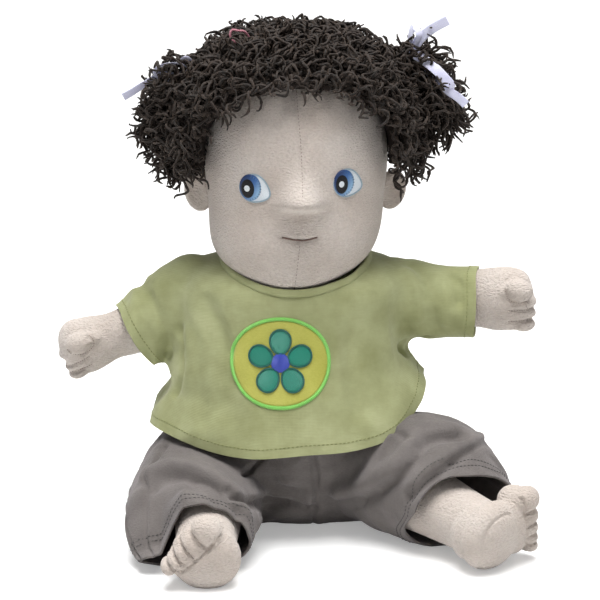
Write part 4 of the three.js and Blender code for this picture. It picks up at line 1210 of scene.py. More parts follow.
def strip_of(route: Array, ways: Array, wide: float, thick: float, sides: int = 12, closed: bool = False,
             squareness: float = 3.0) -> Shape:
    """Flat band along a route.

    Args:
        route: Its middle line, mm.
        ways: Direction of its width at each point.
        wide: Its width.
        thick: Its thickness.
        sides: Corners of each ring.
        closed: Whether its ends join.
        squareness: 2 is an oval section, more is flatter.

    Returns:
        Points and faces.
    """
    ahead = ahead_of(route, closed)
    ways = unit(ways - ahead * (ways * ahead).sum(1, keepdims=True))
    off = np.cross(ahead, ways)
    a = np.linspace(0, 2 * math.pi, sides, endpoint=False)
    c = np.sign(np.cos(a)) * np.abs(np.cos(a)) ** (2 / squareness) * wide / 2
    d = np.sign(np.sin(a)) * np.abs(np.sin(a)) ** (2 / squareness) * thick / 2
    rings = route[:, None] + c[None, :, None] * ways[:, None] + d[None, :, None] * off[:, None]
    return wrapped(rings) if closed else skin_of(rings)


def strip_uv(route: Array, wide: float, sides: int = 12) -> Array:
    """UV pairs of an open band made by strip_of: along it, then across it, in mm."""
    steps = np.concatenate([[0], np.cumsum(np.linalg.norm(np.diff(route, axis=0), axis=1))])
    across = np.cos(np.linspace(0, 2 * math.pi, sides, endpoint=False)) * wide / 2
    uv = np.stack(np.broadcast_arrays(steps[:, None], across[None, :]), -1).reshape(-1, 2)
    return np.vstack([uv, [[0, 0], [steps[-1], 0]]])


def smooth_route(spots: Sequence[Sequence[float]] | Array, count: int, closed: bool = False) -> Array:
    """Curve through listed spots, in as many steps as asked."""
    p = np.asarray(spots, float)
    if closed:
        p = np.vstack([p[-1:], p, p[:2]])
        t = np.linspace(1 / (len(p) - 1), 1 - 1 / (len(p) - 1), count, endpoint=False)
        return np.stack([through(p[:, k], t) for k in range(p.shape[1])], 1)
    t = np.linspace(0, 1, count)
    return np.stack([through(p[:, k], t) for k in range(p.shape[1])], 1)


def face_spots(tree: BVHTree, xz: Array, above: float) -> Array:
    """Spots given by X and Z laid on the side that faces the doll's front."""
    return laid_on(tree, np.stack([xz[:, 0], np.full(len(xz), -130.0), xz[:, 1]], 1), above)


def pad_form(tree: BVHTree, centre: Sequence[float], reach: Callable[[Array], Array], above: float,
             dome: float, rings: int = 9, sides: int = 72, flat: bool = False) -> tuple[Shape, Array]:
    """A domed pad of thread or cloth that lies on a skin's front.

    Args:
        tree: The skin's search tree.
        centre: Its X and Z.
        reach: Outline reach in mm by bearing.
        above: Height of its edge over the skin.
        dome: How much higher its middle stands.
        rings: Rings from the middle out.
        sides: Corners round it.
        flat: Whether the UV map is X and Z instead of round and outwards.

    Returns:
        The closed pad's shape and its UV map in mm.
    """
    a = np.linspace(0, 2 * math.pi, sides, endpoint=False)
    shares = np.concatenate([np.linspace(0.02, 1, rings), [1.0, 0.6]])
    rise = np.concatenate([above + dome * (1 - np.linspace(0, 1, rings) ** 2.4), [-0.5, -0.7]])
    layers, uvs = [], []
    for share, up in zip(shares, rise):
        r = reach(a) * share
        layers.append(face_spots(tree, np.stack([centre[0] + r * np.cos(a), centre[1] + r * np.sin(a)], 1),
                                 up))
        uvs.append(np.stack([r * np.cos(a), r * np.sin(a)] if flat else [a * reach(a).mean() * 0.8, r], 1))
    return skin_of(np.array(layers)), np.vstack([*uvs, [[0, 0], [0, 0]]])


def pad_on(tree: BVHTree, name: str, *args: object, **options: object) -> Object:
    """One pad of pad_form as a piece with its UV map."""
    shape, uv = pad_form(tree, *args, **options)
    return with_uv(new_mesh(name, [shape]), uv)


def border_on(tree: BVHTree, name: str, centre: Sequence[float], reach: Callable[[Array], Array], wide: float,
              rise: float, sides: int = 160) -> Object:
    """A raised border of satin stitches round an outline on a skin's front."""
    a = np.linspace(0, 2 * math.pi, sides, endpoint=False)
    section = [(0.0, -0.4), (0.0, 0.35), (0.18, 0.8), (0.5, 1.0), (0.82, 0.8), (1.0, 0.35), (1.0, -0.4)]
    rings = []
    for share, up in section:
        r = reach(a) - wide * share
        rings.append(face_spots(tree, np.stack([centre[0] + r * np.cos(a), centre[1] + r * np.sin(a)], 1),
                                up * rise))
    obj = new_mesh(name, [wrapped(np.array(rings))])
    along = np.tile(a * reach(a).mean(), len(section))
    across = np.repeat([p[0] * wide for p in section], sides)
    return with_uv(obj, np.stack([along, across], 1))


# Head


@dataclass
class Head:
    """Stuffed head with its ears, embroidered eyes, mouth and seams."""

    width: float = 108.0
    depth: float = 110.0
    turn: float = 3.0
    shift: tuple[float, float, float] = (4.0, 0.0, 150.0)
    nose_height: float = 53.0
    nose_rise: float = 13.2
    eye_places: tuple[tuple[float, float], ...] = ((-19.3, 208.9), (33.2, 211.4))
    eye_size: float = 17.0
    gaze: float = -2.9
    mouth: tuple[tuple[float, float], ...] = ((-3.6, 181.2), (-0.6, 180.6), (3.2, 179.8), (6.8, 179.4),
                                              (10.4, 179.6),
                                              (13.6, 180.3), (16.4, 180.9))
    tree: BVHTree | None = None

    def worn(self, points: Array) -> Array:
        """Points of the head's own frame, turned and set on the neck."""
        return turned_z(np.asarray(points, float), self.turn) + np.array(self.shift)

    def local(self, points: Array) -> Array:
        """The doll's points in the head's own frame."""
        return turned_z(points - np.array(self.shift), -self.turn)

    def seam_x(self, z: Array) -> Array:
        """How far the middle seam wanders from the middle, by height."""
        return through([-4.6, -2.6, -0.8, 0.4, 0.2, -0.6, -2.2, -3.6], np.clip((z + 5) / 125, 0, 1))

    def form(self) -> Object:
        """The stuffed head: an egg with cheeks, a nose and a drawn-in seam."""
        shares = np.array([0.10, 0.50, 0.78, 0.92, 0.965, 1, 0.94, 0.72, 0.45, 0.05])
        deep = np.array([0.24, 0.64, 0.82, 0.93, 0.98, 1, 0.93, 0.72, 0.44, 0.05])
        back = np.array([0.10, 0.48, 0.74, 0.88, 0.97, 1, 0.97, 0.77, 0.48, 0.05])
        heights = [-6, 0.5, 9.5, 22, 46, 70, 92, 111, 122, 127]
        middles = [-16, -12, -6, -1, 0, 1, 1, 1, 1, 1]
        egg = upright(heights, shares * self.width / 2, deep * self.depth / 2, back * self.depth / 2,
                      steps=70, sides=110, middle=middles, squareness=2.08)
        egg[..., 0] -= 3.4 * np.clip((36 - egg[..., 2]) / 36, 0, 1) ** 1.3
        points, faces = skin_of(egg)
        obj = fused("head_skin", [(self.worn(points), faces)], 1.15, 5)
        relief(obj, self.features)
        return obj

    def features(self, points: Array, normals: Array) -> Array:
        """Rise of the nose, cheeks and seam over the egg."""
        p = self.local(points)
        x, y, z = p[:, 0] - self.seam_x(p[:, 2]), p[:, 1], p[:, 2]
        front = np.clip(-y / 30, 0, 1)
        dz = z - self.nose_height
        slope = np.where(dz > 0, bell(np.abs(dz), 9.5, 1.7), bell(np.abs(dz), 4.8, 2.8))
        nose = self.nose_rise * bell(np.abs(x), 10.5 - 0.25 * np.clip(dz, -8, 8), 2.2) * slope
        under = -2.0 * bell(x, 6.0) * bell(dz + 9.0, 3.0)
        bridge = 2.6 * bell(x, 15) * bell(z - self.nose_height - 5, 12)
        cheeks = 2.2 * bell(np.abs(x) - 29, 17) * bell(z - 25, 16)
        lip = 1.1 * bell(x, 13) * bell(z - 24, 6)
        socket = -1.0 * bell(np.abs(x) - 24, 14) * bell(z - 62, 11)
        valley = -0.8 * bell(x, 5) * np.clip((z - 66) / 15, 0, 1)
        line = -0.75 * bell(x, 0.95) * np.where(np.abs(dz) < 9, 0.15, 1.0)
        temple = -1.5 * bell(p[:, 0] - 45, 7) * bell(z - 84, 15)
        lumps = (0.35 * np.sin(x / 7 + 2 * np.sin(z / 11)) * np.sin(z / 8.3 + 1.3)
                 * np.clip((z - 70) / 20, 0, 1))
        return front * (nose + under + bridge + cheeks + lip + socket + valley + line + temple + lumps)

    def build(self) -> None:
        """Makes and dresses every piece of the head."""
        obj = self.form()
        tree = tree_of(obj)
        mouth = face_spots(tree, smooth_route(self.mouth, 40), 0.0)
        relief(obj, lambda p, n: groove(p, mouth, 1.5, 1.5))
        self.tree = tree_of(obj)
        dress(obj, SKIN, "skin_felt", "head", "head")
        self.ears()
        for side, (x, z) in zip(Side, self.eye_places):
            self.eye(side, x, z)
        line = face_spots(self.tree, smooth_route(self.mouth, 60), 0.12)
        thread_piece("mouth_thread", [cord_of(line, 0.5)], BROWN_THREAD, "brown_thread", "head",
                     "mouth_stitch")
        self.seams()

    def seams(self) -> None:
        """Stitch marks along the forehead's seam and one under the chin."""
        z = np.linspace(58, 116, 60)
        top = self.worn(np.stack([self.seam_x(z), np.full(60, -70.0), z], 1))
        z = np.linspace(-2, 26, 30)
        low = self.worn(np.stack([self.seam_x(z), np.full(30, -70.0), z], 1))
        routes = [laid_on(self.tree, r, 0.02) for r in (top, low)]
        stitch_row("face_seam_stitches", routes, SEAM_THREAD, (1.9, 1.3, 0.2), "brown_thread", "head")
        knot = self.worn(np.array([[self.seam_x(np.array(-1.0)), -70.0, z_]
                                   for z_ in np.linspace(-2.5, 0.5, 5)]))
        route = laid_on(self.tree, knot, 0.05)
        thread_piece("chin_stitch", [cord_of(route, 0.35)], BROWN_THREAD, "brown_thread", "head")

    def ears(self) -> None:
        """Small cupped ears with a rolled rim, set into the side seams."""
        for side in Side:
            s = side.value
            centre = np.array([s * (self.width / 2 + 3.4), 3.0, 47.0])
            top = unit(np.array([s * 0.22, 0, 1.0]))
            outward = unit(np.array([s * 1.0, -0.12, -0.22]))
            outward = unit(outward - top * (outward @ top))
            across = np.cross(top, outward)
            axes = np.stack([top, outward, across])
            obj = fused(f"{side.word}_ear_skin", [tuple([self.worn(p), f]) for p, f in [
                lobe(centre, axes, (12.3, 8.4, 4.6)), lobe(centre - outward * 4, axes, (10, 6, 5.4))]],
                        0.7, 4)
            bowl = self.worn((centre + outward * 1.0)[None] + np.array([[0, -4.6, -0.5]]))[0]
            rim_axes = turned_z(axes, self.turn)

            def cup(points: Array, normals: Array) -> Array:
                """Hollow of the ear's front."""
                q = (points - bowl) @ rim_axes.T
                inside = (q[:, 0] / 8.4) ** 2 + (q[:, 1] / 4.8) ** 2
                return -2.6 * np.exp(-(inside**1.6)) * np.clip(-normals[:, 1] * 1.5, 0, 1)

            relief(obj, cup)
            dress(obj, SKIN, "skin_felt", "head", f"{side.word}_ear")

    def outline(self, angle: Array) -> Array:
        """Reach of the eye's drop-shaped outline by bearing, for a size of 1."""
        point = math.radians(-22)
        off = np.abs((angle - point + math.pi) % (2 * math.pi) - math.pi)
        return 0.5 * (0.965 + 0.17 * bell(off, 0.42) - 0.05 * bell(off - 1.1, 0.5))

    def eye(self, side: Side, x: float, z: float) -> None:
        """One embroidered eye: white, blue ring, pupil, glint and outline."""
        centre, iris = np.array([x, z]), np.array([x + self.gaze, z + 0.3])
        squeeze = 0.93 if side is Side.LEFT else 1.0

        def across(a: Array) -> Array:
            """Share of the eye's full width by bearing."""
            return 1 - (1 - squeeze) * np.abs(np.cos(a))

        def eye(a: Array) -> Array:
            """Reach of this eye's outline by bearing, mm."""
            return self.outline(a) * self.eye_size * across(a)

        white = pad_on(self.tree, f"{side.word}_eye_pad", centre, eye, 0.25, 0.5)
        dress(white, EYE_WHITE, "white_thread", "head", f"{side.word}_eye_white")
        for word, kind, r, above, spot, slot in (
            ("iris", IRIS, (6.1, 7.6), 0.75, iris + np.array([0.9, 0.2]), "iris_thread"),
            ("pupil", PUPIL, (3.7, 5.4), 1.0, iris + np.array([-0.4, -0.6]), "black_thread"),
            ("eye_glint", GLINT, (1.6, 1.8), 1.25, iris + np.array([-0.7, -0.5]), "white_thread"),
        ):
            disc = pad_on(self.tree, f"{side.word}_{word}_pad", spot,
                          lambda a, r=r: across(a) / np.hypot(np.cos(a) / r[0], np.sin(a) / r[1]), above,
                          0.25, rings=6)
            if word == "iris":
                self.tint(disc, spot)
            dress(disc, kind, slot, "head", f"{side.word}_{word}")
        a = np.linspace(0, 2 * math.pi, 90, endpoint=False)
        rim = np.stack([x + (eye(a) - 0.1) * np.cos(a), z + (eye(a) - 0.1) * np.sin(a)], 1)
        edge = cord_of(face_spots(self.tree, rim, 0.3), 0.48, closed=True)
        thread_piece(f"{side.word}_eye_outline", [edge], EYE_LINE, "white_thread", "head")
        routes = []
        for bearing in np.linspace(-1.9, 1.35, 15):
            span = np.linspace(6.3, 7.3, 3)[:, None]
            way = np.array([[math.cos(bearing), math.sin(bearing)]])
            spots = iris[None] + way * span * np.array([[across(np.array(bearing)), 1.0]])
            off = spots[-1] - centre
            if np.linalg.norm(off) < eye(np.array(math.atan2(*off[::-1]))) - 0.6:
                routes.append(face_spots(self.tree, spots, 0.85))
        marks = [cord_of(r, 0.17, 6) for r in routes]
        thread_piece(f"{side.word}_iris_marks", marks, IRIS_MARK, "iris_thread", "head")

    def tint(self, disc: Object, spot: Array) -> None:
        """Stores how light the blue is over the ring: deep at the upper right, pale at the lower left."""
        p = points_of(disc)
        away = ((p[:, 0] - spot[0]) * 0.86 - (p[:, 2] - spot[1]) * 0.5) / 6.15
        attribute = disc.data.attributes.new("tone", "FLOAT", "POINT")
        attribute.data.foreach_set("value", np.clip(0.5 + 0.55 * away, 0, 1).astype(np.float32))


@dataclass(frozen=True)
class BlendedThread:
    """Thread whose colour runs from one blue to another by the piece's own tone attribute, its raised threads
    painted lighter and its sunken ones darker as light and shade.
    """

    name: str
    deep: str
    mid: str
    pale: str

    def material(self) -> bpy.types.Material:
        """The node material of this thread."""
        made, g, shader = blank_material(self.name, self.mid)
        tone = g.node("Attribute", attribute_name="tone").outputs["Fac"]
        uv = g.node("TexCoord").outputs["UV"]
        threads = g.noise(g.stretched(uv, (2.6, 0.35, 1.0)), 2.2, 3, 0.7)
        # The thread relief also moves the colour: raised threads painted lighter, sunken ones darker, as
        # light and shade over the thread's own blues.
        shade = g.math("ADD", tone, g.math("MULTIPLY", g.math("SUBTRACT", threads, 0.5), 0.55))
        low = g.mix(g.ramp(shade, 0.1, 0.55), rgb(self.deep), rgb(self.mid))
        g.feed(shader.inputs["Base Color"], g.mix(g.ramp(shade, 0.55, 1.0), low, rgb(self.pale)))
        bump = g.node("Bump", {"Strength": 0.5, "Distance": 0.0004, "Height": threads})
        g.feed(shader.inputs["Normal"], bump.outputs[0])
        g.feed(shader.inputs["Roughness"], g.math("ADD", 0.35, g.math("MULTIPLY", threads, 0.15)))
        return made


IRIS = BlendedThread("iris_thread", "#16305f", "#34639f", "#8db2d2")
IRIS_MARK = Thread("iris_mark_thread", "#2f4a66", "#56718c", 1.0)
SEAM_THREAD = Thread("seam_thread", "#8d7b6f", "#aa9b90", 1.0)


# Hair


RIBBON_THICKNESS = 0.45


@dataclass
class Hair:
    """Curly yarn hair: dark under-layers, yarn ends on the cap and on two bunches, ribbons and an elastic."""

    head: Head
    bunches: dict[Side, Sequence[tuple[tuple[float, float, float], tuple[float, float, float]]]] = field(
        default_factory=lambda: {
            Side.RIGHT: (((-64.0, 3.0, 108.0), (11.0, 11.0, 11.0)), ((-69.0, 5.0, 89.0), (12.5, 12.5, 17.0)),
                         ((-67.0, 7.0, 77.0), (10.5, 11.0, 11.0))),
            Side.LEFT: (((69.0, 3.0, 117.0), (10.0, 10.5, 10.0)), ((75.0, 5.0, 104.0), (12.0, 12.5, 13.5)),
                        ((80.0, 5.0, 94.0), (10.5, 11.0, 9.5)))})

    def free(self, points: Array, extra: float = 0.0) -> Array:
        """How far points lie inside the openings for the face, the ears and the nape, mm."""
        x, y, z = self.head.local(points).T
        wide, top, temple = 53.5 + extra, 113.0 + extra, 74.0
        rise = np.clip((z - temple) / (top - temple), 0, 3)
        arch = 22 * (1 - (np.abs(x) / wide) ** 2.3 - rise**2.2)
        face = np.minimum(arch, 2.0 - y)
        ear = np.minimum(np.minimum(np.abs(x) - 40.0, 16.0 - y), 60.0 + extra - z)
        nape = 14.0 + extra + 50.0 * np.clip((np.abs(x) - 18) / 42, 0, 1) ** 1.3
        return np.maximum(np.maximum(face, ear), nape - z)

    def scalp(self, name: str, side: float, deep: float, high: float, extra: float) -> Object:
        """Open skin over the head, cut free of the face, ears and nape."""
        shares = np.array([0.05, 0.5, 0.78, 0.93, 1, 0.98, 0.88, 0.66, 0.42, 0.05])
        levels = [78 + high * k for k in (-1, -0.93, -0.74, -0.45, -0.1, 0.25, 0.55, 0.8, 0.94, 1)]
        rings = upright(levels, shares * side, shares * deep, shares * deep, steps=64, sides=110,
                        squareness=2.2,
                        middle=[8.0] * 10)
        points, faces = skin_of(rings)
        obj = fused(name, [(self.head.worn(points), faces)], 2.4, 4)
        return opened(obj, lambda p: self.free(p, extra))

    def tuft(self, name: str, side: Side, reach: float) -> Object:
        """Drooping form of a bunch, grown by a reach in mm."""
        parts = [lobe(self.head.worn(np.array([centre]))[0], np.eye(3), np.array(radii) + reach, 36, 24)
                 for centre, radii in self.bunches[side]]
        return fused(name, parts, 1.6, 6)

    def grow(self, name: str, source: Object, **values: float) -> Object:
        """Yarn ends on a skin; the skin goes."""
        obj = YARN.run(name, source, HAIR_YARN, **values)
        LOG.info("yarn %s: %d faces", name, len(obj.data.polygons))
        return obj

    def build(self) -> None:
        """Makes and dresses all the hair."""
        core = walled(self.scalp("hair_core", 65.0, 62.5, 57.5, 4.5), 5.5)
        dress(core, YARN_CORE, "yarn_hair", "head", "hair_cap")
        layers = (
            ("hair_under", 66.5, 64.0, 58.5, 1.5,
             dict(Reach=0.012, Curl=0.0024, Turns=1.3, Density=80000.0, Lean=3.0,
                                                       Wander=0.004, Droop=0.001, Seed=3)),
            ("hair_middle", 70.0, 67.5, 62.0, 3.5,
             dict(Reach=0.016, Curl=0.0028, Turns=1.3, Density=70000.0, Lean=3.4,
                                                        Wander=0.006, Droop=0.002, Seed=8)),
            ("hair_upper", 73.0, 70.0, 64.5, 6.5,
             dict(Reach=0.017, Curl=0.003, Turns=1.4, Density=52000.0, Lean=3.6,
                                                       Wander=0.007, Droop=0.003, Seed=15)),
            ("hair_stray", 73.0, 70.0, 65.0, 7.0,
             dict(Reach=0.010, Curl=0.003, Turns=1.2, Density=7000.0, Lean=1.2,
                                                       Wander=0.005, Droop=0.001, Seed=29)),
        )
        for name, side, deep, high, clear, values in layers:
            dressed = self.grow(name, self.scalp(name + "_scalp", side, deep, high, clear), Thickness=0.00078,
                                **values)
            self.declare(dressed)
        for side in Side:
            ball = self.tuft(f"{side.word}_bunch_core", side, 0.0)
            dress(ball, YARN_CORE, "yarn_hair", "head", f"{side.word}_hair_bunch")
            for k, (reach, seed) in enumerate(((1.0, 4), (4.5, 11))):
                name = f"{side.word}_bunch_yarn_{'ab'[k]}"
                self.declare(self.grow(name, self.tuft(name + "_ball", side, reach), Reach=0.016, Curl=0.0032,
                                       Turns=1.1,
                                       Density=90000.0, Lean=3.2, Wander=0.006, Droop=0.003,
                                       Thickness=0.00078,
                                       Seed=seed + side.value))
        self.trims()

    def declare(self, obj: Object) -> None:
        """Body of a yarn piece; its material came with the form."""
        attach(obj, "head")

    def ribbon(self, name: str, bands: Sequence[tuple[Sequence[Sequence[float]], Sequence[float], float]],
               knot: Sequence[float], *nodes: str) -> None:
        """A bow of ribbon bands.

        Args:
            name: The piece's name.
            bands: Middle line, width's turn by place (0 is edge-on from the front, 90 flat to it) and width.
            knot: The knot's middle.
            nodes: CAD nodes that it replaces.
        """
        shapes, uvs = [], []
        for spots, turns, wide in bands:
            route = smooth_route(spots, 9 * len(spots))
            turn = np.radians(through(turns, np.linspace(0, 1, len(route))))[:, None]
            ahead = unit(np.gradient(route, axis=0))
            side = unit(np.array([0, 1.0, 0]) - ahead * ahead[:, 1:2])
            ways = np.cos(turn) * side + np.sin(turn) * np.cross(ahead, side)
            shapes.append(strip_of(route, ways, wide, RIBBON_THICKNESS))
            uvs.append(strip_uv(route, wide))
        ball = lobe(knot, np.eye(3), (3.4, 3.4, 3.0), 20, 14)
        shapes.append(ball)
        uvs.append(ball[0][:, [0, 2]])
        obj = with_uv(new_mesh(name, shapes), np.vstack(uvs))
        dress(obj, RIBBON, "ribbon", "head", *nodes)

    def trims(self) -> None:
        """The two ribbon bows and the elastic that shows in the hair."""
        self.ribbon("left_bow_ribbon", (
            (((72.2, 4, 278.4), (70.3, 3, 286.2), (72.7, 2, 294.2), (75.8, 1, 289.3), (73.4, 3, 282.2)),
             (30, 20, 35, 40, 30), 6.0),
            (((72.5, 5, 279.0), (76.0, 5, 286.0), (83.3, 4, 292.6), (92.2, 3, 297.6)), (60, 80, 90, 95), 5.8),
            (((72.5, 2, 278.4), (77.5, -4, 276.2), (84.6, -9, 271.2), (90.6, -10, 265.2), (93.9, -9, 261.4),
              (91.2, -7, 259.4),
              (85.6, -5, 263.8), (78.5, -1, 271.2)), (60, 75, 80, 80, 60, 70, 60, 50), 6.0),
            (((86.0, -6, 263.5), (93.1, -8, 257.8), (98.0, -8, 254.6), (103.0, -7, 250.0)), (70, 80, 85, 90),
             5.2),
        ), (72.5, 4.5, 278.6), "left_bow")
        self.ribbon("right_bow_ribbon", (
            (((-57.8, -4, 269.1), (-61.7, -6, 272.6), (-66.8, -8, 273.6), (-72.4, -8, 272.4),
              (-75.8, -7, 269.2), (-72.8, -6, 266.2),
              (-67.6, -6, 266.2), (-61.0, -5, 267.4)), (20, 25, 30, 40, 60, 80, 80, 60), 6.0),
            (((-64.0, -4, 267.8), (-70.0, -4, 267.6), (-76.5, -4, 265.6), (-83.5, -5, 261.6),
              (-90.5, -6, 257.4), (-96.0, -7, 254.3)),
             (40, 45, 45, 50, 55, 60), 5.4),
            (((-57.3, -3, 269.4), (-56.6, -6, 273.9), (-59.1, -7, 276.4), (-61.8, -5, 273.8),
              (-58.5, -3, 270.2)),
             (30, 40, 60, 40, 30), 5.0),
        ), (-57.8, -4.0, 269.4), "right_bow")
        loop = smooth_route(((-22.6, -17, 290.7), (-25.0, -19, 293.9), (-28.6, -20, 294.6),
                             (-31.8, -20, 295.0), (-33.1, -20, 293.0),
                             (-32.8, -20, 290.6), (-30.6, -20, 288.2), (-26.4, -18, 286.5)), 50)
        thread_piece("elastic_loop", [cord_of(loop, 0.65)], ELASTIC, "pink_elastic", "head",
                     "hair_elastic_loop")


# Limbs


def arm_frame(side: Side, drop: float, forward: float = 6.0) -> LimbFrame:
    """Frame of an arm from its shoulder pivot.

    Args:
        side: Which arm.
        drop: How far it hangs below level, degrees.
        forward: How far it reaches forward, degrees.

    Returns:
        The frame; out runs to the doll's front and up to its top.
    """
    d, f = math.radians(drop), math.radians(forward)
    along = np.array([side.value * math.cos(d) * math.cos(f), -math.sin(f), -math.sin(d)])
    out = unit(np.cross(along, [0, 0, 1.0])) * side.value
    up = np.array([0, 0, 1.0]) - along * along[2]
    return LimbFrame(np.array([side.value * 60.0, 0.0, 132.0]), along, out, unit(up))


@dataclass(frozen=True)
class Arm:
    """Stuffed arm with a mitten hand, a thumb and sewn finger lines.

    Attributes:
        side: Which arm.
        drop: How far it hangs below level, degrees.
        length: Shoulder pivot to finger tips, mm.
        bend: Rise of the middle line along the arm.
        thumb: The thumb's middle, as distances in the arm's frame.
        thumb_size: Its reach along each of the frame's directions.
        fingers: Sewn lines, each as distances along and up.
        high: Half heights along the arm.
        tips: Height of each finger tip.
    """

    side: Side
    drop: float
    length: float
    bend: Sequence[float]
    thumb: tuple[float, float, float]
    thumb_size: tuple[float, float, float]
    fingers: Sequence[tuple[tuple[float, float], ...]]
    high: Sequence[float]
    tips: Sequence[float]

    def build(self) -> None:
        """Makes and dresses the arm."""
        frame_ = arm_frame(self.side, self.drop)
        n = self.length
        along = [-21.5, -17, -8, 6, 24, 40, n * 0.62, n * 0.74, n * 0.86, n * 0.95, n - 0.5, n]
        wide = [3, 12, 19.5, 20.5, 17.5, 14.8, 13.4, 13.6, 13.4, 11.0, 6.0, 0.6]
        shell = skin_of(frame_.rings(along, wide, self.high, steps=46, sides=40, up=self.bend))
        axes = np.stack([frame_.along, frame_.out, frame_.up])
        thumb = lobe(frame_.at(*self.thumb), axes, self.thumb_size)
        root = lobe(frame_.at(self.thumb[0] - 7, self.thumb[1] - 6, self.thumb[2] - 2), axes,
                    (9, 8, self.thumb_size[2] * 0.9))
        tips = [lobe(frame_.at(n - 5.5, 1.0, up), axes, (7.5, 9.5, 4.3)) for up in self.tips]
        obj = fused(f"{self.side.word}_arm_skin", [shell, thumb, root, *tips], 1.0, 3)

        def lines(points: Array, normals: Array) -> Array:
            """Sewn finger lines on the front, and the crease round the thumb."""
            q = frame_.local(points)
            rise = np.zeros(len(points))
            for line in self.fingers:
                route = np.array([[a, 0.0, u] for a, u in line])
                flat = np.stack([q[:, 0], np.zeros(len(q)), q[:, 2]], 1)
                rise += groove(flat, route, 1.0, 1.5) * np.clip(np.abs(q[:, 1]) / 4 - 0.4, 0, 1)
            return (rise + 0.25 * np.sin(q[:, 0] / 3.1) * np.sin(q[:, 2] / 4.0)
                    * np.clip((q[:, 0] - 40) / 10, 0, 1))

        relief(obj, lines)
        tree = tree_of(obj)
        routes = []
        for line in self.fingers:
            t = np.linspace(0, 1, 16)
            pts = np.array(line)
            spots = [frame_.at(through(pts[:, 0], k), 40.0, through(pts[:, 1], k)) for k in t]
            routes.append(laid_on(tree, np.array(spots), 0.05, way=-frame_.out))
        stitch_row(f"{self.side.word}_finger_stitches", routes, SKIN_THREAD, (1.5, 1.1, 0.22), "brown_thread",
                   f"{self.side.word}_arm")
        dress(obj, SKIN, "skin_felt", f"{self.side.word}_arm", f"{self.side.word}_arm")


@dataclass(frozen=True)
class Leg:
    """Stuffed leg with a sole and five toes.

    Attributes:
        side: Which leg.
        splay: How far it turns outwards, degrees.
        roll: How far its toes lean outwards, degrees.
        length: Hip pivot to sole, mm.
        pivot_height: Height of the hip pivot.
        sole: Half width of the sole.
        sole_height: Height of the sole's middle.
        toe_reach: The toes' distance from the leg's axis.
        slant: How far the cuff's edge slants back on one side.
        under: How far it runs back below.
        toes: Place across the foot, reach and half width of each toe.
    """

    side: Side
    splay: float
    roll: float
    length: float = 116.0
    pivot_height: float = 33.0
    sole: float = 19.0
    sole_height: float = 18.8
    toe_reach: float = 15.0
    slant: float = 0.0
    under: float = 5.0
    toes: Sequence[tuple[float, float, float]] = ((13.4, 9.4, 7.9), (3.0, 7.3, 5.9), (-4.6, 6.4, 5.4),
                                                  (-11.2, 5.7, 5.0),
                                                  (-16.6, 5.0, 4.5))

    def frame(self) -> LimbFrame:
        """The leg's frame from its hip pivot."""
        splay, s = math.radians(self.splay), self.side.value
        pivot = np.array([s * 46.0, -22.0, self.pivot_height])
        ahead = np.array([s * math.sin(splay), -math.cos(splay), 0.0])
        along = unit(ahead - np.array([0, 0, (self.pivot_height - self.sole_height) / (self.length - 15)]))
        out = unit(np.cross(along, [0, 0, 1.0]))
        return LimbFrame(pivot, along, out, unit(np.cross(out, along)))

    def foot(self, along: Array) -> tuple[Array, Array]:
        """The way the toes point and the way to the big toe."""
        splay, roll, s = math.radians(self.splay), math.radians(self.roll), self.side.value
        outward = np.array([s * math.cos(splay), math.sin(splay), 0.0])
        toes = np.array([0, 0, math.cos(roll)]) + outward * math.sin(roll)
        toes = unit(toes - along * (toes @ along))
        inner = -outward * math.cos(roll) + np.array([0, 0, math.sin(roll)])
        return toes, unit(inner - along * (inner @ along) - toes * (inner @ toes))

    def build(self) -> None:
        """Makes and dresses the leg."""
        frame_ = self.frame()
        toes, inner = self.foot(frame_.along)
        n, s = self.length, self.sole
        along = [-30, -24, -12, 8, 30, 52, 72, 86, 98]
        girth = [4, 17, 27, 28.5, 24.5, 20.5, 18.5, 17.4, 17]
        shell = skin_of(frame_.rings(along, girth, girth, steps=40, sides=40))

        def at(a: float, t: float, i: float) -> Array:
            """The point this far along the leg, towards the toes and towards the big toe."""
            return frame_.pivot + frame_.along * a + toes * t + inner * i

        axes = np.stack([toes, inner, frame_.along])
        shapes = [shell, lobe(at(n - 12.5, -0.5, 0), axes, (s + 0.6, s, 12.5)),
                  lobe(at(n - 20, -3, 0), axes, (s - 2.5, s - 3, 13)),
                  lobe(at(n - 13.0, self.toe_reach - 8, -1.5), axes, (13, s - 1.5, 12))]
        for across, long_, wide in self.toes:
            shapes.append(lobe(at(n - 8.5, self.toe_reach, across), axes, (long_, wide, 7.6)))
            shapes.append(lobe(at(n - 15, self.toe_reach - 3, across * 0.93), axes, (long_, wide, 9)))
        obj = fused(f"{self.side.word}_leg_skin", shapes, 0.85, 3)
        rows = [t[0] for t in self.toes]
        gaps = [(a + b) / 2 for a, b in zip(rows, rows[1:])]

        def creases(points: Array, normals: Array) -> Array:
            """Sewn lines between the toes and the fold where they meet the sole."""
            q = points - frame_.pivot
            a, t, i = q @ frame_.along, q @ toes, q @ inner
            near = np.clip((t - self.toe_reach + 7) / 3, 0, 1) * np.clip((a - n + 24) / 4, 0, 1)
            rise = sum(-1.5 * bell(i - g, 0.75) for g in gaps) * near
            fold = (-1.7 * bell(t - self.toe_reach + 6.0, 0.9) * np.clip((a - n + 9) / 3, 0, 1)
                    * (np.abs(i) < 19))
            edge = -0.9 * bell(np.hypot(t, i) - 15.5, 0.8) * (i > 3) * (t < 9) * (self.slant > 0)
            return rise + fold + edge * np.clip((a - n + 14) / 3, 0, 1)

        relief(obj, creases)
        p = points_of(obj)
        p[:, 2] = np.maximum(p[:, 2], 0.05)
        set_points(obj, p)
        dress(obj, SKIN, "skin_felt", f"{self.side.word}_leg", f"{self.side.word}_leg")


# Clothes


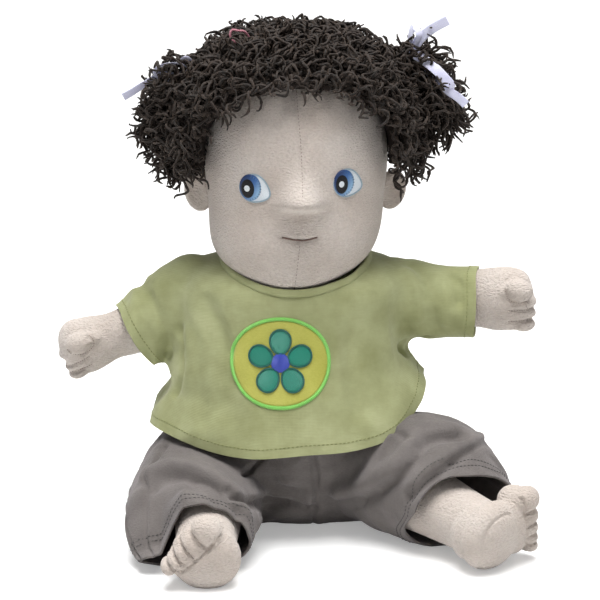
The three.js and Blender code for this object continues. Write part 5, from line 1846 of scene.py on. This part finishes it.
def bearing_of(points: Array, middle: float = 0.0) -> tuple[Array, Array]:
    """Cosine and sine of each point's bearing round the doll's middle."""
    r = np.maximum(np.hypot(points[:, 0], points[:, 1] - middle), 1e-6)
    return points[:, 0] / r, (points[:, 1] - middle) / r


# Each large fold: half width, depth (below zero for a ridge) and its line's X, Z spots in the fold plane, mm
SHIRT_FOLDS = (
    (2.5, 1.7, ((-78.9, 149.5), (-75.9, 142.4), (-72.4, 133), (-68.9, 123.5), (-68.1, 114.1))),
    (3, 1.2, ((-83.1, 140.7), (-79.7, 129.2), (-78, 123.5))),
    (3, 2.5, ((-61.9, 129.4), (-60.8, 116), (-61.1, 100.8), (-64.8, 91.1))),
    (6, -2, ((-57, 125.4), (-56.3, 110.2), (-59.3, 96.8))),
    (4, 1.5, ((-57.4, 165.9), (-59.2, 157.4))),
    (4, 2.2, ((69.6, 167.4), (74.8, 163.2), (77.8, 156.6), (78.5, 148.3))),
    (5, -2.5, ((66.7, 162), (71.5, 156), (74.5, 145.9), (74.1, 137.4))),
    (4, 2.2, ((94.5, 159), (98, 154.2), (97.6, 146))),
    (5, -2, ((88.3, 154.9), (90.2, 145.9), (88.7, 135))),
    (3, 2.5, ((63.9, 118.1), (71.3, 119), (78.4, 124.1))),
    (5, 2, ((-47.4, 146.6), (-38, 128.8), (-34.6, 116.9))),
    (6, 1.8, ((32.2, 146.6), (36.3, 128.8), (35.3, 103.8), (41.2, 80.8))),
    (6, 1.8, ((-48.3, 74.7), (-36.6, 86.9), (-32.5, 95.9))),
)
TROUSER_FOLDS = (
    (4.2, 4.6, ((-79.4, 35.7), (-72.8, 39.2), (-65.4, 40.6), (-57.9, 39.6), (-50.6, 35.7), (-44.1, 29.3),
     (-37.6, 20.8), (-31.2, 17.9))),
    (6, -4.1, ((-82.1, 41.6), (-68.1, 46.6), (-54.1, 44.5), (-43.1, 38.6), (-32.9, 28.8), (-26.5, 17.9))),
    (6.8, -3.4, ((-77.7, 24.9), (-65.6, 27.8), (-54.4, 24.9), (-49, 19.9))),
    (3, 4.7, ((-35.7, 30.3), (-31.1, 26.3), (-20.9, 24.9), (-7.8, 23.8), (6.2, 21.8), (11.8, 19.9))),
    (1.9, 4.1, ((-25.4, 41.6), (-20.8, 45), (-16.1, 50.5), (-14.7, 52.4))),
    (5.1, 3.4, ((-17.1, 40.6), (-7.8, 34.7), (-0.4, 31.7), (7.1, 32.7))),
    (4.2, -2.7, ((-3.1, 36.7), (6.2, 34.7), (11.8, 29.8), (10.9, 23.8))),
    (2.8, 3.0, ((70.4, 27.2), (78.9, 35.3), (89, 43.5), (99, 51.7), (109.1, 58.4), (117.6, 62.9))),
    (5.1, -2.6, ((71.9, 36.3), (83.8, 46.3), (95.5, 54.4), (105.7, 60.7), (114.1, 64.3))),
    (4.2, 4.2, ((32.7, 22.6), (45.6, 27.2), (58.4, 34.5), (68.5, 43.5), (74.3, 52.6), (78.5, 59.8),
     (86.9, 64.3), (98.8, 64.3))),
    (6, -4.1, ((28.4, 30.8), (42.9, 34.5), (56.5, 43.5), (66.6, 52.6), (71.6, 59.8))),
    (2.4, 2.2, ((60.4, 68.7), (64.8, 66), (68.2, 63.3))),
    (1.4, 2, ((-71.2, 58.9), (-76.5, 50.9), (-82.5, 41.6), (-83.6, 31.7), (-82.7, 20.6), (-80.3, 8.1))),
    (1.4, 2, ((14.7, 51.5), (16.5, 41), (16.5, 30.5), (16, 19.9))),
    (2, 2.4, ((-33.1, 26.2), (-25, 23.1), (-15.6, 20.6), (-2.2, 21.2))),
)


@dataclass
class Shirt:
    """Loose jersey shirt: a body and two short sleeves cut from one skin, with a neckband and a patch."""

    wall: float = 1.1
    neck_middle: float = 4.0
    neck_height: float = 161.0
    neck_dip: float = 12.4
    hem_height: float = 60.0
    seam: float = 71.0
    sleeves: dict[Side, tuple[float, float]] = field(
        default_factory=lambda: {Side.RIGHT: (31.0, 39.5), Side.LEFT: (1.5, 52.0)})
    patch: tuple[float, float] = (-4.7, 108.7)
    patch_half: tuple[float, float] = (29.0, 25.5)
    tree: BVHTree | None = None

    def neckline(self, points: Array) -> Array:
        """Height of the neckline by bearing."""
        _, d = bearing_of(points - np.array([self.neck_middle, 0, 0]))
        return self.neck_height - np.where(d < 0, self.neck_dip, 6.0) * d * d

    def hemline(self, points: Array) -> Array:
        """Height of the hem by bearing, lower at the doll's right."""
        c, d = bearing_of(points)
        side = np.where(c < 0, 1.5 * c**4, 26.0 * c**4)
        wave = 1.2 * np.cos(5 * np.arctan2(d, c) + 0.4)
        return self.hem_height + side + np.where(d > 0, -6.0 * d * d, -2.5 * d * d) + wave

    def whole(self) -> Object:
        """The shirt as one open skin, before it is split at the armholes."""
        height = [40, 61.5, 82, 104, 126, 144, 153, 161, 176]
        side = [87, 84.5, 77, 71, 69.5, 69, 63, 41.5, 39]
        front = [79, 77, 69, 61, 55.5, 53, 51, 48, 45.5]
        back = [70, 68, 63, 57, 53, 50, 47, 43, 40]

        def lift(t: Array, c: Array, d: Array) -> Array:
            """Dip of the upper rings at the front and the back."""
            share = np.clip((t - 0.125) / 0.75, 0, 1.15)
            return np.where(d < 0, -self.neck_dip, -6.0) * d * d * share**1.5

        body = upright(height, side, front, back, steps=60, sides=90, squareness=2.2, lift=lift)
        x, z = body[..., 0].copy(), body[..., 2]
        body[..., 0] += self.neck_middle * np.clip((z - 128) / 30, 0, 1)
        body[..., 0] += 5.5 * bell(z - 84, 9) * np.clip(-x / 77, 0, 1)
        body[..., 0] += 10.0 * bell(z - 77, 15) * np.clip(x / 77, 0, 1) ** 2
        shapes = [skin_of(body)]
        for s, (drop, length) in self.sleeves.items():
            f = arm_frame(s, drop)
            along = [-24, -14, 0, 14, 26, 36, length, length + 12]
            high = [14, 23, 25, 24, 23, 22.5, 22, 22]
            up = ([0, 0, 0, -0.5, -1, -1.2, -1.5, -2] if s is Side.RIGHT
                  else [0, 0, 0, 0, -0.5, -0.5, -0.8, -1])
            shapes.append(skin_of(f.rings(along, [14, 22, 24, 22.5, 21.5, 21.5, 21.8, 21.5], high, steps=36,
                                          sides=44, up=up)))
        obj = fused("shirt_whole", shapes, 2.6, 9)
        opened(obj, lambda p: p[:, 2] - self.neckline(p))
        opened(obj, lambda p: self.hemline(p) - p[:, 2])
        for s, (drop, length) in self.sleeves.items():
            f = arm_frame(s, drop)
            opened(obj, lambda p, f=f, n=length: self.past(f, p, n))
        return smoothed(obj)

    def past(self, f: LimbFrame, points: Array, length: float) -> Array:
        """How far points lie past a sleeve's hem."""
        q = f.local(points)
        near = np.hypot(q[:, 1], q[:, 2]) < 33
        return np.where(near, q[:, 0] - length + 0.8 * np.sin(q[:, 1] / 6), -5.0)

    def folds(self, points: Array, normals: Array) -> Array:
        """Soft folds: waves towards the hem, drags from the armpits and rings on the sleeves."""
        x, y, z = points.T
        a = np.arctan2(y, x)
        low = np.clip((125 - z) / 70, 0, 1)
        flat = np.exp(-(((x - self.patch[0]) / 33) ** 4) - (((z - self.patch[1]) / 30) ** 4)) * (y < 0)
        waves = 2.2 * low**2 * np.sin(7 * a + 0.8 + z / 60) + 0.8 * low * np.sin(12 * a + z / 19)
        loose = crumple(points + np.stack([0.5 * z, 0 * z, 0 * z], 1), (30, 30, 62), 2.3, 1.8)
        rise = waves + (3.0 * loose - 1.6) * np.clip((158 - z) / 14, 0, 1)
        rise = rise * (1 - 0.7 * flat)
        for s, (drop, length) in self.sleeves.items():
            f = arm_frame(s, drop)
            q = f.local(points)
            on = np.clip((q[:, 0] - 4) / 12, 0, 1) * (s.value * x > 56) * (np.hypot(q[:, 1], q[:, 2]) < 34)
            wide, strength = (14, 2.4) if s is Side.RIGHT else (18, 2.0)
            rise = rise + on * strength * (
                crumple(q + 0.25 * q[:, [2, 0, 1]], (wide, 38, 38), 5.1 + s.value, 1.5) - 0.5)
            pit = np.array([s.value * 72.0, -14.0, 104.0])
            for slope, depth in ((0.25, 2.2), (-0.55, 1.8), (1.1, 1.6)):
                way = unit(np.array([-s.value * 1.0, -0.35, slope]))
                route = np.array([pit, pit + way * 34])
                rise = rise + groove(points, route, 3.2, depth) * (y < 20)
        slit = -1.3 * bell(x, 0.9) * (y > 0) * (z > 104)
        return rise + slit

    def round_at(self, height: Callable[[Array], Array], shift: float, above: float,
                 count: int = 150) -> Array:
        """Points on the outside round the doll, at a level by bearing and some way over it, mm."""
        a = np.linspace(0, 2 * math.pi, count, endpoint=False)
        ways = np.stack([np.cos(a), np.sin(a), 0 * a], 1)
        spots = ways * 20
        spots[:, 2] = height(ways * 50) + shift
        return laid_on(self.tree, spots, above, ways)

    def build(self) -> None:
        obj = self.whole()
        relief(obj, self.folds)
        pressed(obj, SHIRT_FOLDS)
        self.tree = tree_of(obj)
        parts = {"shirt_cloth": lambda m: np.abs(m[:, 0]) < self.seam + 200 * (m[:, 2] < 98)}
        for s in Side:
            parts[f"{s.word}_sleeve_cloth"] = (
                lambda m, s=s: (s.value * m[:, 0] >= self.seam) & (m[:, 2] >= 98))
        for name, keep in parts.items():
            piece = walled(part_of(obj, name, keep), self.wall, obj)
            side = next((s for s in Side if name.startswith(s.word)), None)
            if side is None:
                dress(piece, JERSEY, "jersey", "torso", "shirt_body")
            else:
                dress(piece, JERSEY, "jersey", None, f"{side.word}_sleeve")
                start = np.array([side.value * self.seam, 0, 128]) * MM
                end = start + np.array([side.value * 0.026, 0, 0])
                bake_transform(piece, "torso", f"{side.word}_arm", start=start.tolist(), end=end.tolist())
        bpy.data.objects.remove(obj)
        self.edges()
        self.badge()

    def edges(self) -> None:
        """Neckband and the rows of stitches along the hems and down the back."""
        route = self.round_at(self.neckline, -1.3, 0.5, 180)
        out = unit((route - np.array([self.neck_middle, 0, 0])) * np.array([1, 1, 0]))
        band = new_mesh("neckband_cloth",
                        [strip_of(route, np.array([0, 0, 1.0]) - 0.45 * out, 4.6, 2.3, 14, True, 2.4)])
        dress(band, JERSEY, "jersey", "torso", "shirt_neckband")
        routes = [self.round_at(self.hemline, 5.2, 0.1, 220)]
        stitch_row("shirt_stitches", routes, JERSEY_THREAD, HEM_STITCH, "jersey", "torso", closed=True)
        z = np.linspace(106, 150, 60)
        backs = [laid_on(self.tree, np.stack([np.full(60, x), np.full(60, 120.0), z], 1), 0.1, (0, -1, 0))
                 for x in (-8.5, 8.5)]
        stitch_row("back_stitches", backs, JERSEY_THREAD, HEM_STITCH, "jersey", "torso")
        for s, (drop, length) in self.sleeves.items():
            f = arm_frame(s, drop)
            a = np.linspace(0, 2 * math.pi, 90, endpoint=False)
            ways = np.cos(a)[:, None] * f.out + np.sin(a)[:, None] * f.up
            sway = (0.8 * np.sin(20 * np.cos(a) / 6))[:, None]
            spots = f.at(length - 5.0, 0, -1.0) + ways * 3 - f.along * sway
            routes = [laid_on(self.tree, spots, 0.1, ways)]
            stitch_row(f"{s.word}_sleeve_stitches", routes, JERSEY_THREAD, HEM_STITCH, "jersey",
                       f"{s.word}_arm", closed=True)

    def outline(self, a: Array) -> Array:
        """Reach of the patch's rounded outline by bearing."""
        across, up = self.patch_half
        return (np.abs(np.cos(a) / across) ** 2.1 + np.abs(np.sin(a) / up) ** 2.1) ** (-1 / 2.1)

    def badge(self) -> None:
        """The patch on the chest: a cloth field, a satin border and a stitched flower."""
        field_ = pad_on(self.tree, "patch_field_cloth", self.patch, lambda a: self.outline(a) - 1.6,
                        0.35, 0.2, rings=16, sides=130, flat=True)
        dress(field_, PATCH_CLOTH, "patch_cloth", "torso", "patch_field")
        edge = border_on(self.tree, "patch_border_satin", self.patch, self.outline, 2.0, 1.1, sides=260)
        dress(edge, BORDER_SATIN, "green_satin", "torso", "patch_border")
        shapes, uvs, rims = [], [], []
        for k in range(5):
            bearing = math.radians(90 + 72 * k)
            centre = np.array(self.patch) + 11.6 * np.array([math.cos(bearing), math.sin(bearing)])

            def petal(a: Array, b: float = bearing) -> Array:
                """Reach of the petal's outline by bearing, mm."""
                return 1 / np.hypot(np.cos(a - b) / 6.9, np.sin(a - b) / (6.0 + 0.6 * np.cos(a - b)))

            shape, uv = pad_form(self.tree, centre, petal, 0.75, 0.55, rings=8, sides=48, flat=True)
            turned = np.array([[math.cos(bearing), math.sin(bearing)],
                               [-math.sin(bearing), math.cos(bearing)]])
            shapes.append(shape)
            uvs.append(uv @ turned.T)
            a = np.linspace(0, 2 * math.pi, 60, endpoint=False)
            rims.append(np.stack([centre[0] + petal(a) * np.cos(a), centre[1] + petal(a) * np.sin(a)], 1))
        petals = with_uv(new_mesh("patch_petals_satin", shapes), np.vstack(uvs))
        dress(petals, TEAL_SATIN, "teal_satin", "torso", "patch_flower_petals")
        lines = [cord_of(face_spots(self.tree, r, 0.95), 0.55, closed=True) for r in rims]
        thread_piece("patch_petal_lines", lines, DEEP_SATIN, "teal_satin", "torso")
        middle = pad_on(self.tree, "patch_centre_satin", self.patch, lambda a: 5.3 + 0 * a, 1.3, 0.7, rings=7)
        dress(middle, BLUE_SATIN, "blue_satin", "torso", "patch_flower_centre")


# Lean of the line between the trousers' seat and a leg, and how far past it the cloth blends, mm
SPLIT_LEAN = 0.55
SPLIT_BLEND = 28


@dataclass
class Trousers:
    """Baggy velour trousers: a seat and two legs cut from one skin."""

    wall: float = 1.4
    waist: float = 92.0
    cuff: float = 88.0
    legs: Sequence[Leg] = ()
    split: float = 10.0
    seam: float = 14.8
    tree: BVHTree | None = None

    def whole(self) -> Object:
        """The trousers as one open skin."""
        hips = upright([-4, 10, 32, 58, 84, 104], [58, 70, 76.5, 74, 67, 61], [30, 43, 52, 56, 55, 50],
                       [46, 56, 60.5, 58, 52, 47],
                       steps=50, sides=80, squareness=2.15)
        shapes = [skin_of(hips), lobe((0, -26, 26), np.eye(3), (34, 24, 26))]
        for leg in self.legs:
            f = leg.frame()
            if leg.side is Side.RIGHT:
                wide, high = ([20, 31, 38, 40, 40, 39.5, 37.5, 33, 30],
                              [18, 28, 30.5, 31, 30.5, 29, 25.5, 21, 19.5])
                out, up = [1, 2, 4, 5.5, 7, 8.5, 8.5, 7, 5], [0, 0, 0, 0, 0, 0, 0, 0, 0]
            else:
                wide, high = [20, 31, 37, 40, 41, 39, 36, 32, 30], [18, 28, 33, 37, 39, 37, 30, 24, 21]
                out, up = [1, 2, 4, 7, 9, 9.5, 9, 8, 7], [0, 0, 1, 4, 7, 8, 5, 1, 0]
            along = [-30, -16, 0, 18, 36, 54, 72, 86, 104]
            shapes.append(skin_of(f.rings(along, wide, high, steps=44, sides=48,
                                          out=np.array(out) * self.swing(leg), up=up)))
        obj = fused("trousers_whole", shapes, 2.8, 10)
        opened(obj, lambda p: p[:, 2] - self.waist)
        for leg in self.legs:
            f = leg.frame()
            opened(obj, lambda p, f=f, s=leg.side, k=leg:
                   np.where(s.value * p[:, 0] > 2, self.past(f, p, k), -5.0))
        return smoothed(obj)

    def swing(self, leg: Leg) -> float:
        """1 where the leg frame's out points away from the other leg, else -1."""
        return 1.0 if leg.frame().out[0] * leg.side.value > 0 else -1.0

    def clear_of(self, points: Array, leg: Leg) -> Array:
        """Cloth points moved out of the stuffed leg where they come too near its axis."""
        f = leg.frame()
        q = f.local(points)
        reach = np.maximum(np.hypot(q[:, 1], q[:, 2]), 1.0)
        need = np.interp(q[:, 0], [-12, 8, 30, 52, 72, 84, 90, 104],
                         [27, 28.5, 25, 21, 19, 18.2, 18.2, 19.5]) + 2.8
        more = np.where((q[:, 0] > -12) & (q[:, 0] < 104), np.maximum(need / reach, 1.0), 1.0) - 1
        return points + f.out * (q[:, 1] * more)[:, None] + f.up * (q[:, 2] * more)[:, None]

    def past(self, f: LimbFrame, points: Array, leg: Leg) -> Array:
        """How far points lie past a cuff."""
        q = f.local(points)
        return q[:, 0] - self.rim(np.arctan2(q[:, 2], q[:, 1]), q[:, 1], q[:, 2], leg)

    def rim(self, a: Array, out: Array, up: Array, leg: Leg) -> Array:
        """Place along the leg of a cuff's edge, which slants back towards the crotch and below."""
        back = leg.slant * np.clip((out + 16) / 44, 0, 1) + leg.under * np.clip((4 - up) / 20, 0, 1)
        return self.cuff + 1.4 * np.sin(2 * a + 0.6) + 0.7 * np.sin(5 * a) - back

    def folds(self, points: Array, normals: Array) -> Array:
        """Folds over the thighs, at the knees and round the crotch, and the sewn seams."""
        x, y, z = points.T
        rise = np.zeros(len(points))
        for leg in self.legs:
            f = leg.frame()
            q = f.local(points)
            mine = np.clip(leg.side.value * x / 10, 0, 1)
            on = (mine * np.clip((q[:, 0] + 8) / 22, 0, 1)
                  * (0.45 + 0.55 * np.clip((self.cuff - q[:, 0]) / 16, 0, 1)))
            slanted = q + np.stack([0.45 * q[:, 1], 0 * x, 0 * x], 1)
            broad = crumple(slanted, (26, 50, 50), 1.7 + leg.side.value, 1.6)
            fine = crumple(slanted, (13, 32, 32), 8.3 + leg.side.value, 1.3)
            rise += on * (3.6 * broad - 2.0 + 1.2 * (fine - 0.5))
            out = q[:, 1] * self.swing(leg)
            rise += -1.5 * bell(q[:, 2] - 5, 1.0) * mine * (out > 15) * np.clip((q[:, 0] + 10) / 8, 0, 1)
        middle = bell(x, 30, 4) * (y < 0) * np.clip((74 - z) / 20, 0, 1)
        rise += middle * (2.4 * crumple(points, (26, 26, 15), 4.4, 1.5) - 1.3)
        seam = -1.7 * bell(x - self.seam, 1.1) * (y < -20) * (z < 66)
        return rise + seam

    def build(self) -> None:
        obj = self.whole()
        relief(obj, self.folds)
        pressed(obj, TROUSER_FOLDS)
        p = points_of(obj)
        for leg in self.legs:
            p = self.clear_of(p, leg)
        q = self.legs[0].frame().local(p)
        slack = np.clip((q[:, 1] - 13) / 13, 0, 1) * np.clip((q[:, 0] - 58) / 24, 0, 1) * (p[:, 0] < 0)
        p[:, 2] *= 1 - 0.62 * slack**1.3
        p[:, 2] = np.maximum(p[:, 2], 0.1 + 0.15 * np.sin(p[:, 0] / 7) ** 2)
        set_points(obj, p)
        self.tree = tree_of(obj)

        def on_leg(m: Array, leg: Leg) -> Array:
            """Whether face middles belong to a leg's cloth."""
            q = leg.frame().local(m)
            return (leg.side.value * m[:, 0] > 6) & (q[:, 0] - SPLIT_LEAN * q[:, 2] > self.split)

        names = {leg.side: f"{leg.side.word}_trouser_cloth" for leg in self.legs}
        seat = part_of(obj, "trouser_seat_cloth",
                       lambda m: ~(on_leg(m, self.legs[0]) | on_leg(m, self.legs[1])))
        walled(seat, self.wall, obj)
        dress(seat, VELOUR, "velour", "torso", "trouser_seat")
        for leg in self.legs:
            piece = walled(part_of(obj, names[leg.side], lambda m, leg=leg: on_leg(m, leg)), self.wall, obj)
            dress(piece, VELOUR, "velour", None, f"{leg.side.word}_trouser_leg")
            f = leg.frame()
            start = f.at(self.split) * MM
            end = start + unit(f.along - SPLIT_LEAN * f.up) * SPLIT_BLEND * MM
            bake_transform(piece, "torso", f"{leg.side.word}_leg", start=start.tolist(), end=end.tolist())
            self.cuff_stitches(leg)
        bpy.data.objects.remove(obj)

    def cuff_stitches(self, leg: Leg) -> None:
        """Two rows of stitches round a cuff."""
        f = leg.frame()
        a = np.linspace(0, 2 * math.pi, 110, endpoint=False)
        ways = np.cos(a)[:, None] * f.out + np.sin(a)[:, None] * f.up
        routes = []
        for back in (4.2, 7.0):
            on = self.rim(a, 30 * np.cos(a), 24 * np.sin(a), leg) - back
            spots = f.at(0, 5.0 * self.swing(leg), -4) + f.along * on[:, None] + ways * 3
            route = laid_on(self.tree, spots, 0.1, ways)
            routes.append(route[route[:, 2] > 1.2])
        stitch_row(f"{leg.side.word}_cuff_stitches", routes, VELOUR_THREAD, (2.4, 1.8, 0.3), "velour",
                   f"{leg.side.word}_leg")


# Studio


@dataclass(frozen=True)
class Studio:
    """Camera at the photographed angle, soft lights and a pale floor."""

    target: tuple[float, float, float] = (0.0066, 0.0, 0.1305)
    distance: float = 1.2
    elevation: float = 15.0
    lens: float = 120.0
    world: float = 0.28

    def camera(self) -> None:
        """Makes the camera and sets it as the scene's."""
        data = bpy.data.cameras.new("camera")
        data.lens, data.sensor_width, data.clip_start = self.lens, 36.0, 0.05
        obj = bpy.data.objects.new("camera", data)
        e = math.radians(self.elevation)
        target = Vector(self.target)
        obj.location = target + Vector((0, -math.cos(e), math.sin(e))) * self.distance
        obj.rotation_euler = (target - obj.location).to_track_quat("-Z", "Y").to_euler()
        bpy.context.scene.collection.objects.link(obj)
        bpy.context.scene.camera = obj

    def lamp(self, name: str, place: Sequence[float], size: float, watts: float,
             aim: Sequence[float] = (0, 0, 0.15)) -> None:
        """A square soft light.

        Args:
            name: Its name.
            place: Where it hangs, metres.
            size: Side of the square, metres.
            watts: Its power.
            aim: The point it faces.
        """
        data = bpy.data.lights.new(name, "AREA")
        data.size, data.energy = size, watts
        obj = bpy.data.objects.new(name, data)
        obj.location = place
        obj.rotation_euler = (Vector(aim) - Vector(place)).to_track_quat("-Z", "Y").to_euler()
        bpy.context.scene.collection.objects.link(obj)

    def backdrop(self) -> None:
        """Pale floor that curves up behind, white to the camera but keeping the shadow."""
        profile = [(-1.6, 0.0), (1.0, 0.0)]
        profile += [(1.0 + 0.6 * math.sin(a), 0.6 - 0.6 * math.cos(a))
                    for a in np.linspace(0.1, math.pi / 2, 14)]
        profile += [(1.6, 2.6)]
        points = [(x, y, z) for x in (-2.6, 2.6) for y, z in profile]
        n = len(profile)
        mesh = bpy.data.meshes.new("studio_floor")
        mesh.from_pydata(points, [], [(i, n + i, n + i + 1, i + 1) for i in range(n - 1)])
        mesh.shade_smooth()
        obj = bpy.data.objects.new("studio_floor", mesh)
        bpy.context.scene.collection.objects.link(obj)
        made = bpy.data.materials.new("studio_paper")
        made.use_nodes = True
        g = Graph(made.node_tree)
        shader = made.node_tree.nodes["Principled BSDF"]
        place = g.node("TexCoord").outputs["Object"]
        g.feed(shader.inputs["Base Color"], g.mix(g.noise(place, 900, 2), rgb("#eeedec"), rgb("#f4f4f3")))
        shader.inputs["Roughness"].default_value = 0.9
        shader.inputs["Specular IOR Level"].default_value = 0.1
        rays = g.node("LightPath")
        seen = g.math("MAXIMUM", rays.outputs["Is Camera Ray"],
                      g.math("MAXIMUM", rays.outputs["Is Glossy Ray"], rays.outputs["Is Transmission Ray"]))
        shader.inputs["Emission Color"].default_value = (1, 1, 1, 1)
        g.feed(shader.inputs["Emission Strength"], g.math("MULTIPLY", seen, 0.3))
        obj.data.materials.append(made)

    def build(self) -> None:
        """Sets up the whole studio."""
        scene = bpy.context.scene
        scene.view_settings.view_transform = "Standard"
        world = bpy.data.worlds.new("studio_air")
        world.use_nodes = True
        g = Graph(world.node_tree)
        back = world.node_tree.nodes["Background"]
        rays = g.node("LightPath")
        back.inputs["Color"].default_value = (0.96, 0.98, 1.0, 1)
        shown = g.math("MULTIPLY", rays.outputs["Is Camera Ray"], 1 - self.world)
        g.feed(back.inputs["Strength"], g.math("ADD", shown, self.world))
        scene.world = world
        self.camera()
        self.backdrop()
        self.lamp("sky_window", (0.0, -0.15, 1.5), 1.0, 38.0)
        self.lamp("front_fill", (0.7, -1.7, 0.9), 1.6, 1.0)


@dataclass(frozen=True)
class SoftCopy:
    """Smooth stuffed piece that keeps a hidden CAD form's own shape."""

    node: str
    name: str
    kind: Cloth
    slot: str
    body: str
    voxel: float = 1.6
    fill: float = 0.7

    def build(self) -> Object:
        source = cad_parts[self.node]
        obj = source.copy()
        obj.data = source.data.copy()
        obj.parent = None
        for key in list(obj.keys()):
            del obj[key]
        obj.name = obj.data.name = self.name
        bpy.context.scene.collection.objects.link(obj)
        b = bmesh.new()
        b.from_mesh(obj.data)
        bmesh.ops.remove_doubles(b, verts=b.verts, dist=1e-6)
        b.to_mesh(obj.data)
        b.free()
        reskinned(obj, self.voxel, 6 if self.fill else 2)
        return dress(obj, self.kind, self.slot, self.body, self.node)


ARMS = (
    Arm(Side.RIGHT, drop=24.0, length=83.0, bend=(0, 0, 0, -1, -2.5, -3, -1.5, 0, 0.5, 0.5, 0, 0),
        thumb=(70.0, 14.0, 6.5), thumb_size=(9.0, 6.2, 6.8),
        fingers=(((68, -4), (76, -5), (84, -5.5)), ((69, -9.5), (76, -10), (83, -10)),
                 ((77, 6.5), (75.5, 2), (70, -0.8), (63.5, 0.6), (61, 4.5), (62, 8.5))),
        high=(3, 12, 19.5, 20.5, 17.8, 15.0, 14.2, 16.2, 17.4, 14.0, 7.0, 0.6), tips=(1.5, -6.7, -12.0)),
    Arm(Side.LEFT, drop=1.5, length=86.0, bend=(0, 0, 0, 0, 0, 1.5, 2.5, 3, 3, 2.5, 1, 0),
        thumb=(77.0, 12.5, 11.5), thumb_size=(8.6, 6.6, 7.2),
        fingers=(((72, -1), (80, -0.8), (88, -0.6)), ((72, -8), (80, -7.8), (87, -7.6)),
                 ((86, 9.5), (83, 5.5), (77.5, 4), (71.5, 6), (69, 11))),
        high=(3, 12, 19.5, 20.5, 18.5, 17.0, 17.6, 19.2, 19.0, 16.5, 8.0, 0.6), tips=(2.8, -4.3, -11.3)),
)
LEGS = (
    Leg(Side.RIGHT, splay=0.0, roll=45.0, length=118.0, sole=19.6, sole_height=17.8, toe_reach=11.5),
    Leg(Side.LEFT, splay=41.0, roll=77.0, length=118.0, sole=20.4, sole_height=20.4, toe_reach=24.0,
        slant=20.0,
        under=14.0),
)


def main() -> None:
    """Builds the doll over the frame, piece by piece."""
    Studio().build()
    head = Head()
    head.build()
    Hair(head).build()
    SoftCopy("torso", "torso_stuffing", SKIN, "skin_felt", "torso").build()
    for arm in ARMS:
        arm.build()
    for leg in LEGS:
        leg.build()
    Shirt().build()
    Trousers(legs=LEGS).build()
    SoftCopy("neck", "neck_stuffing", SKIN, "skin_felt", "neck").build()
    SoftCopy("granule_pouch", "pouch_stuffing", POUCH_CLOTH, "pouch_cloth", "torso").build()
    SoftCopy("trouser_waistband", "waistband_cloth", VELOUR, "velour", "torso", voxel=1.2, fill=0).build()
    for word in ("hook", "loop"):
        SoftCopy(f"closure_{word}_tape", f"{word}_tape_strip", TAPE, "closure_tape", "torso", voxel=0.45,
                 fill=0).build()


if __name__ == "__main__":
    main()
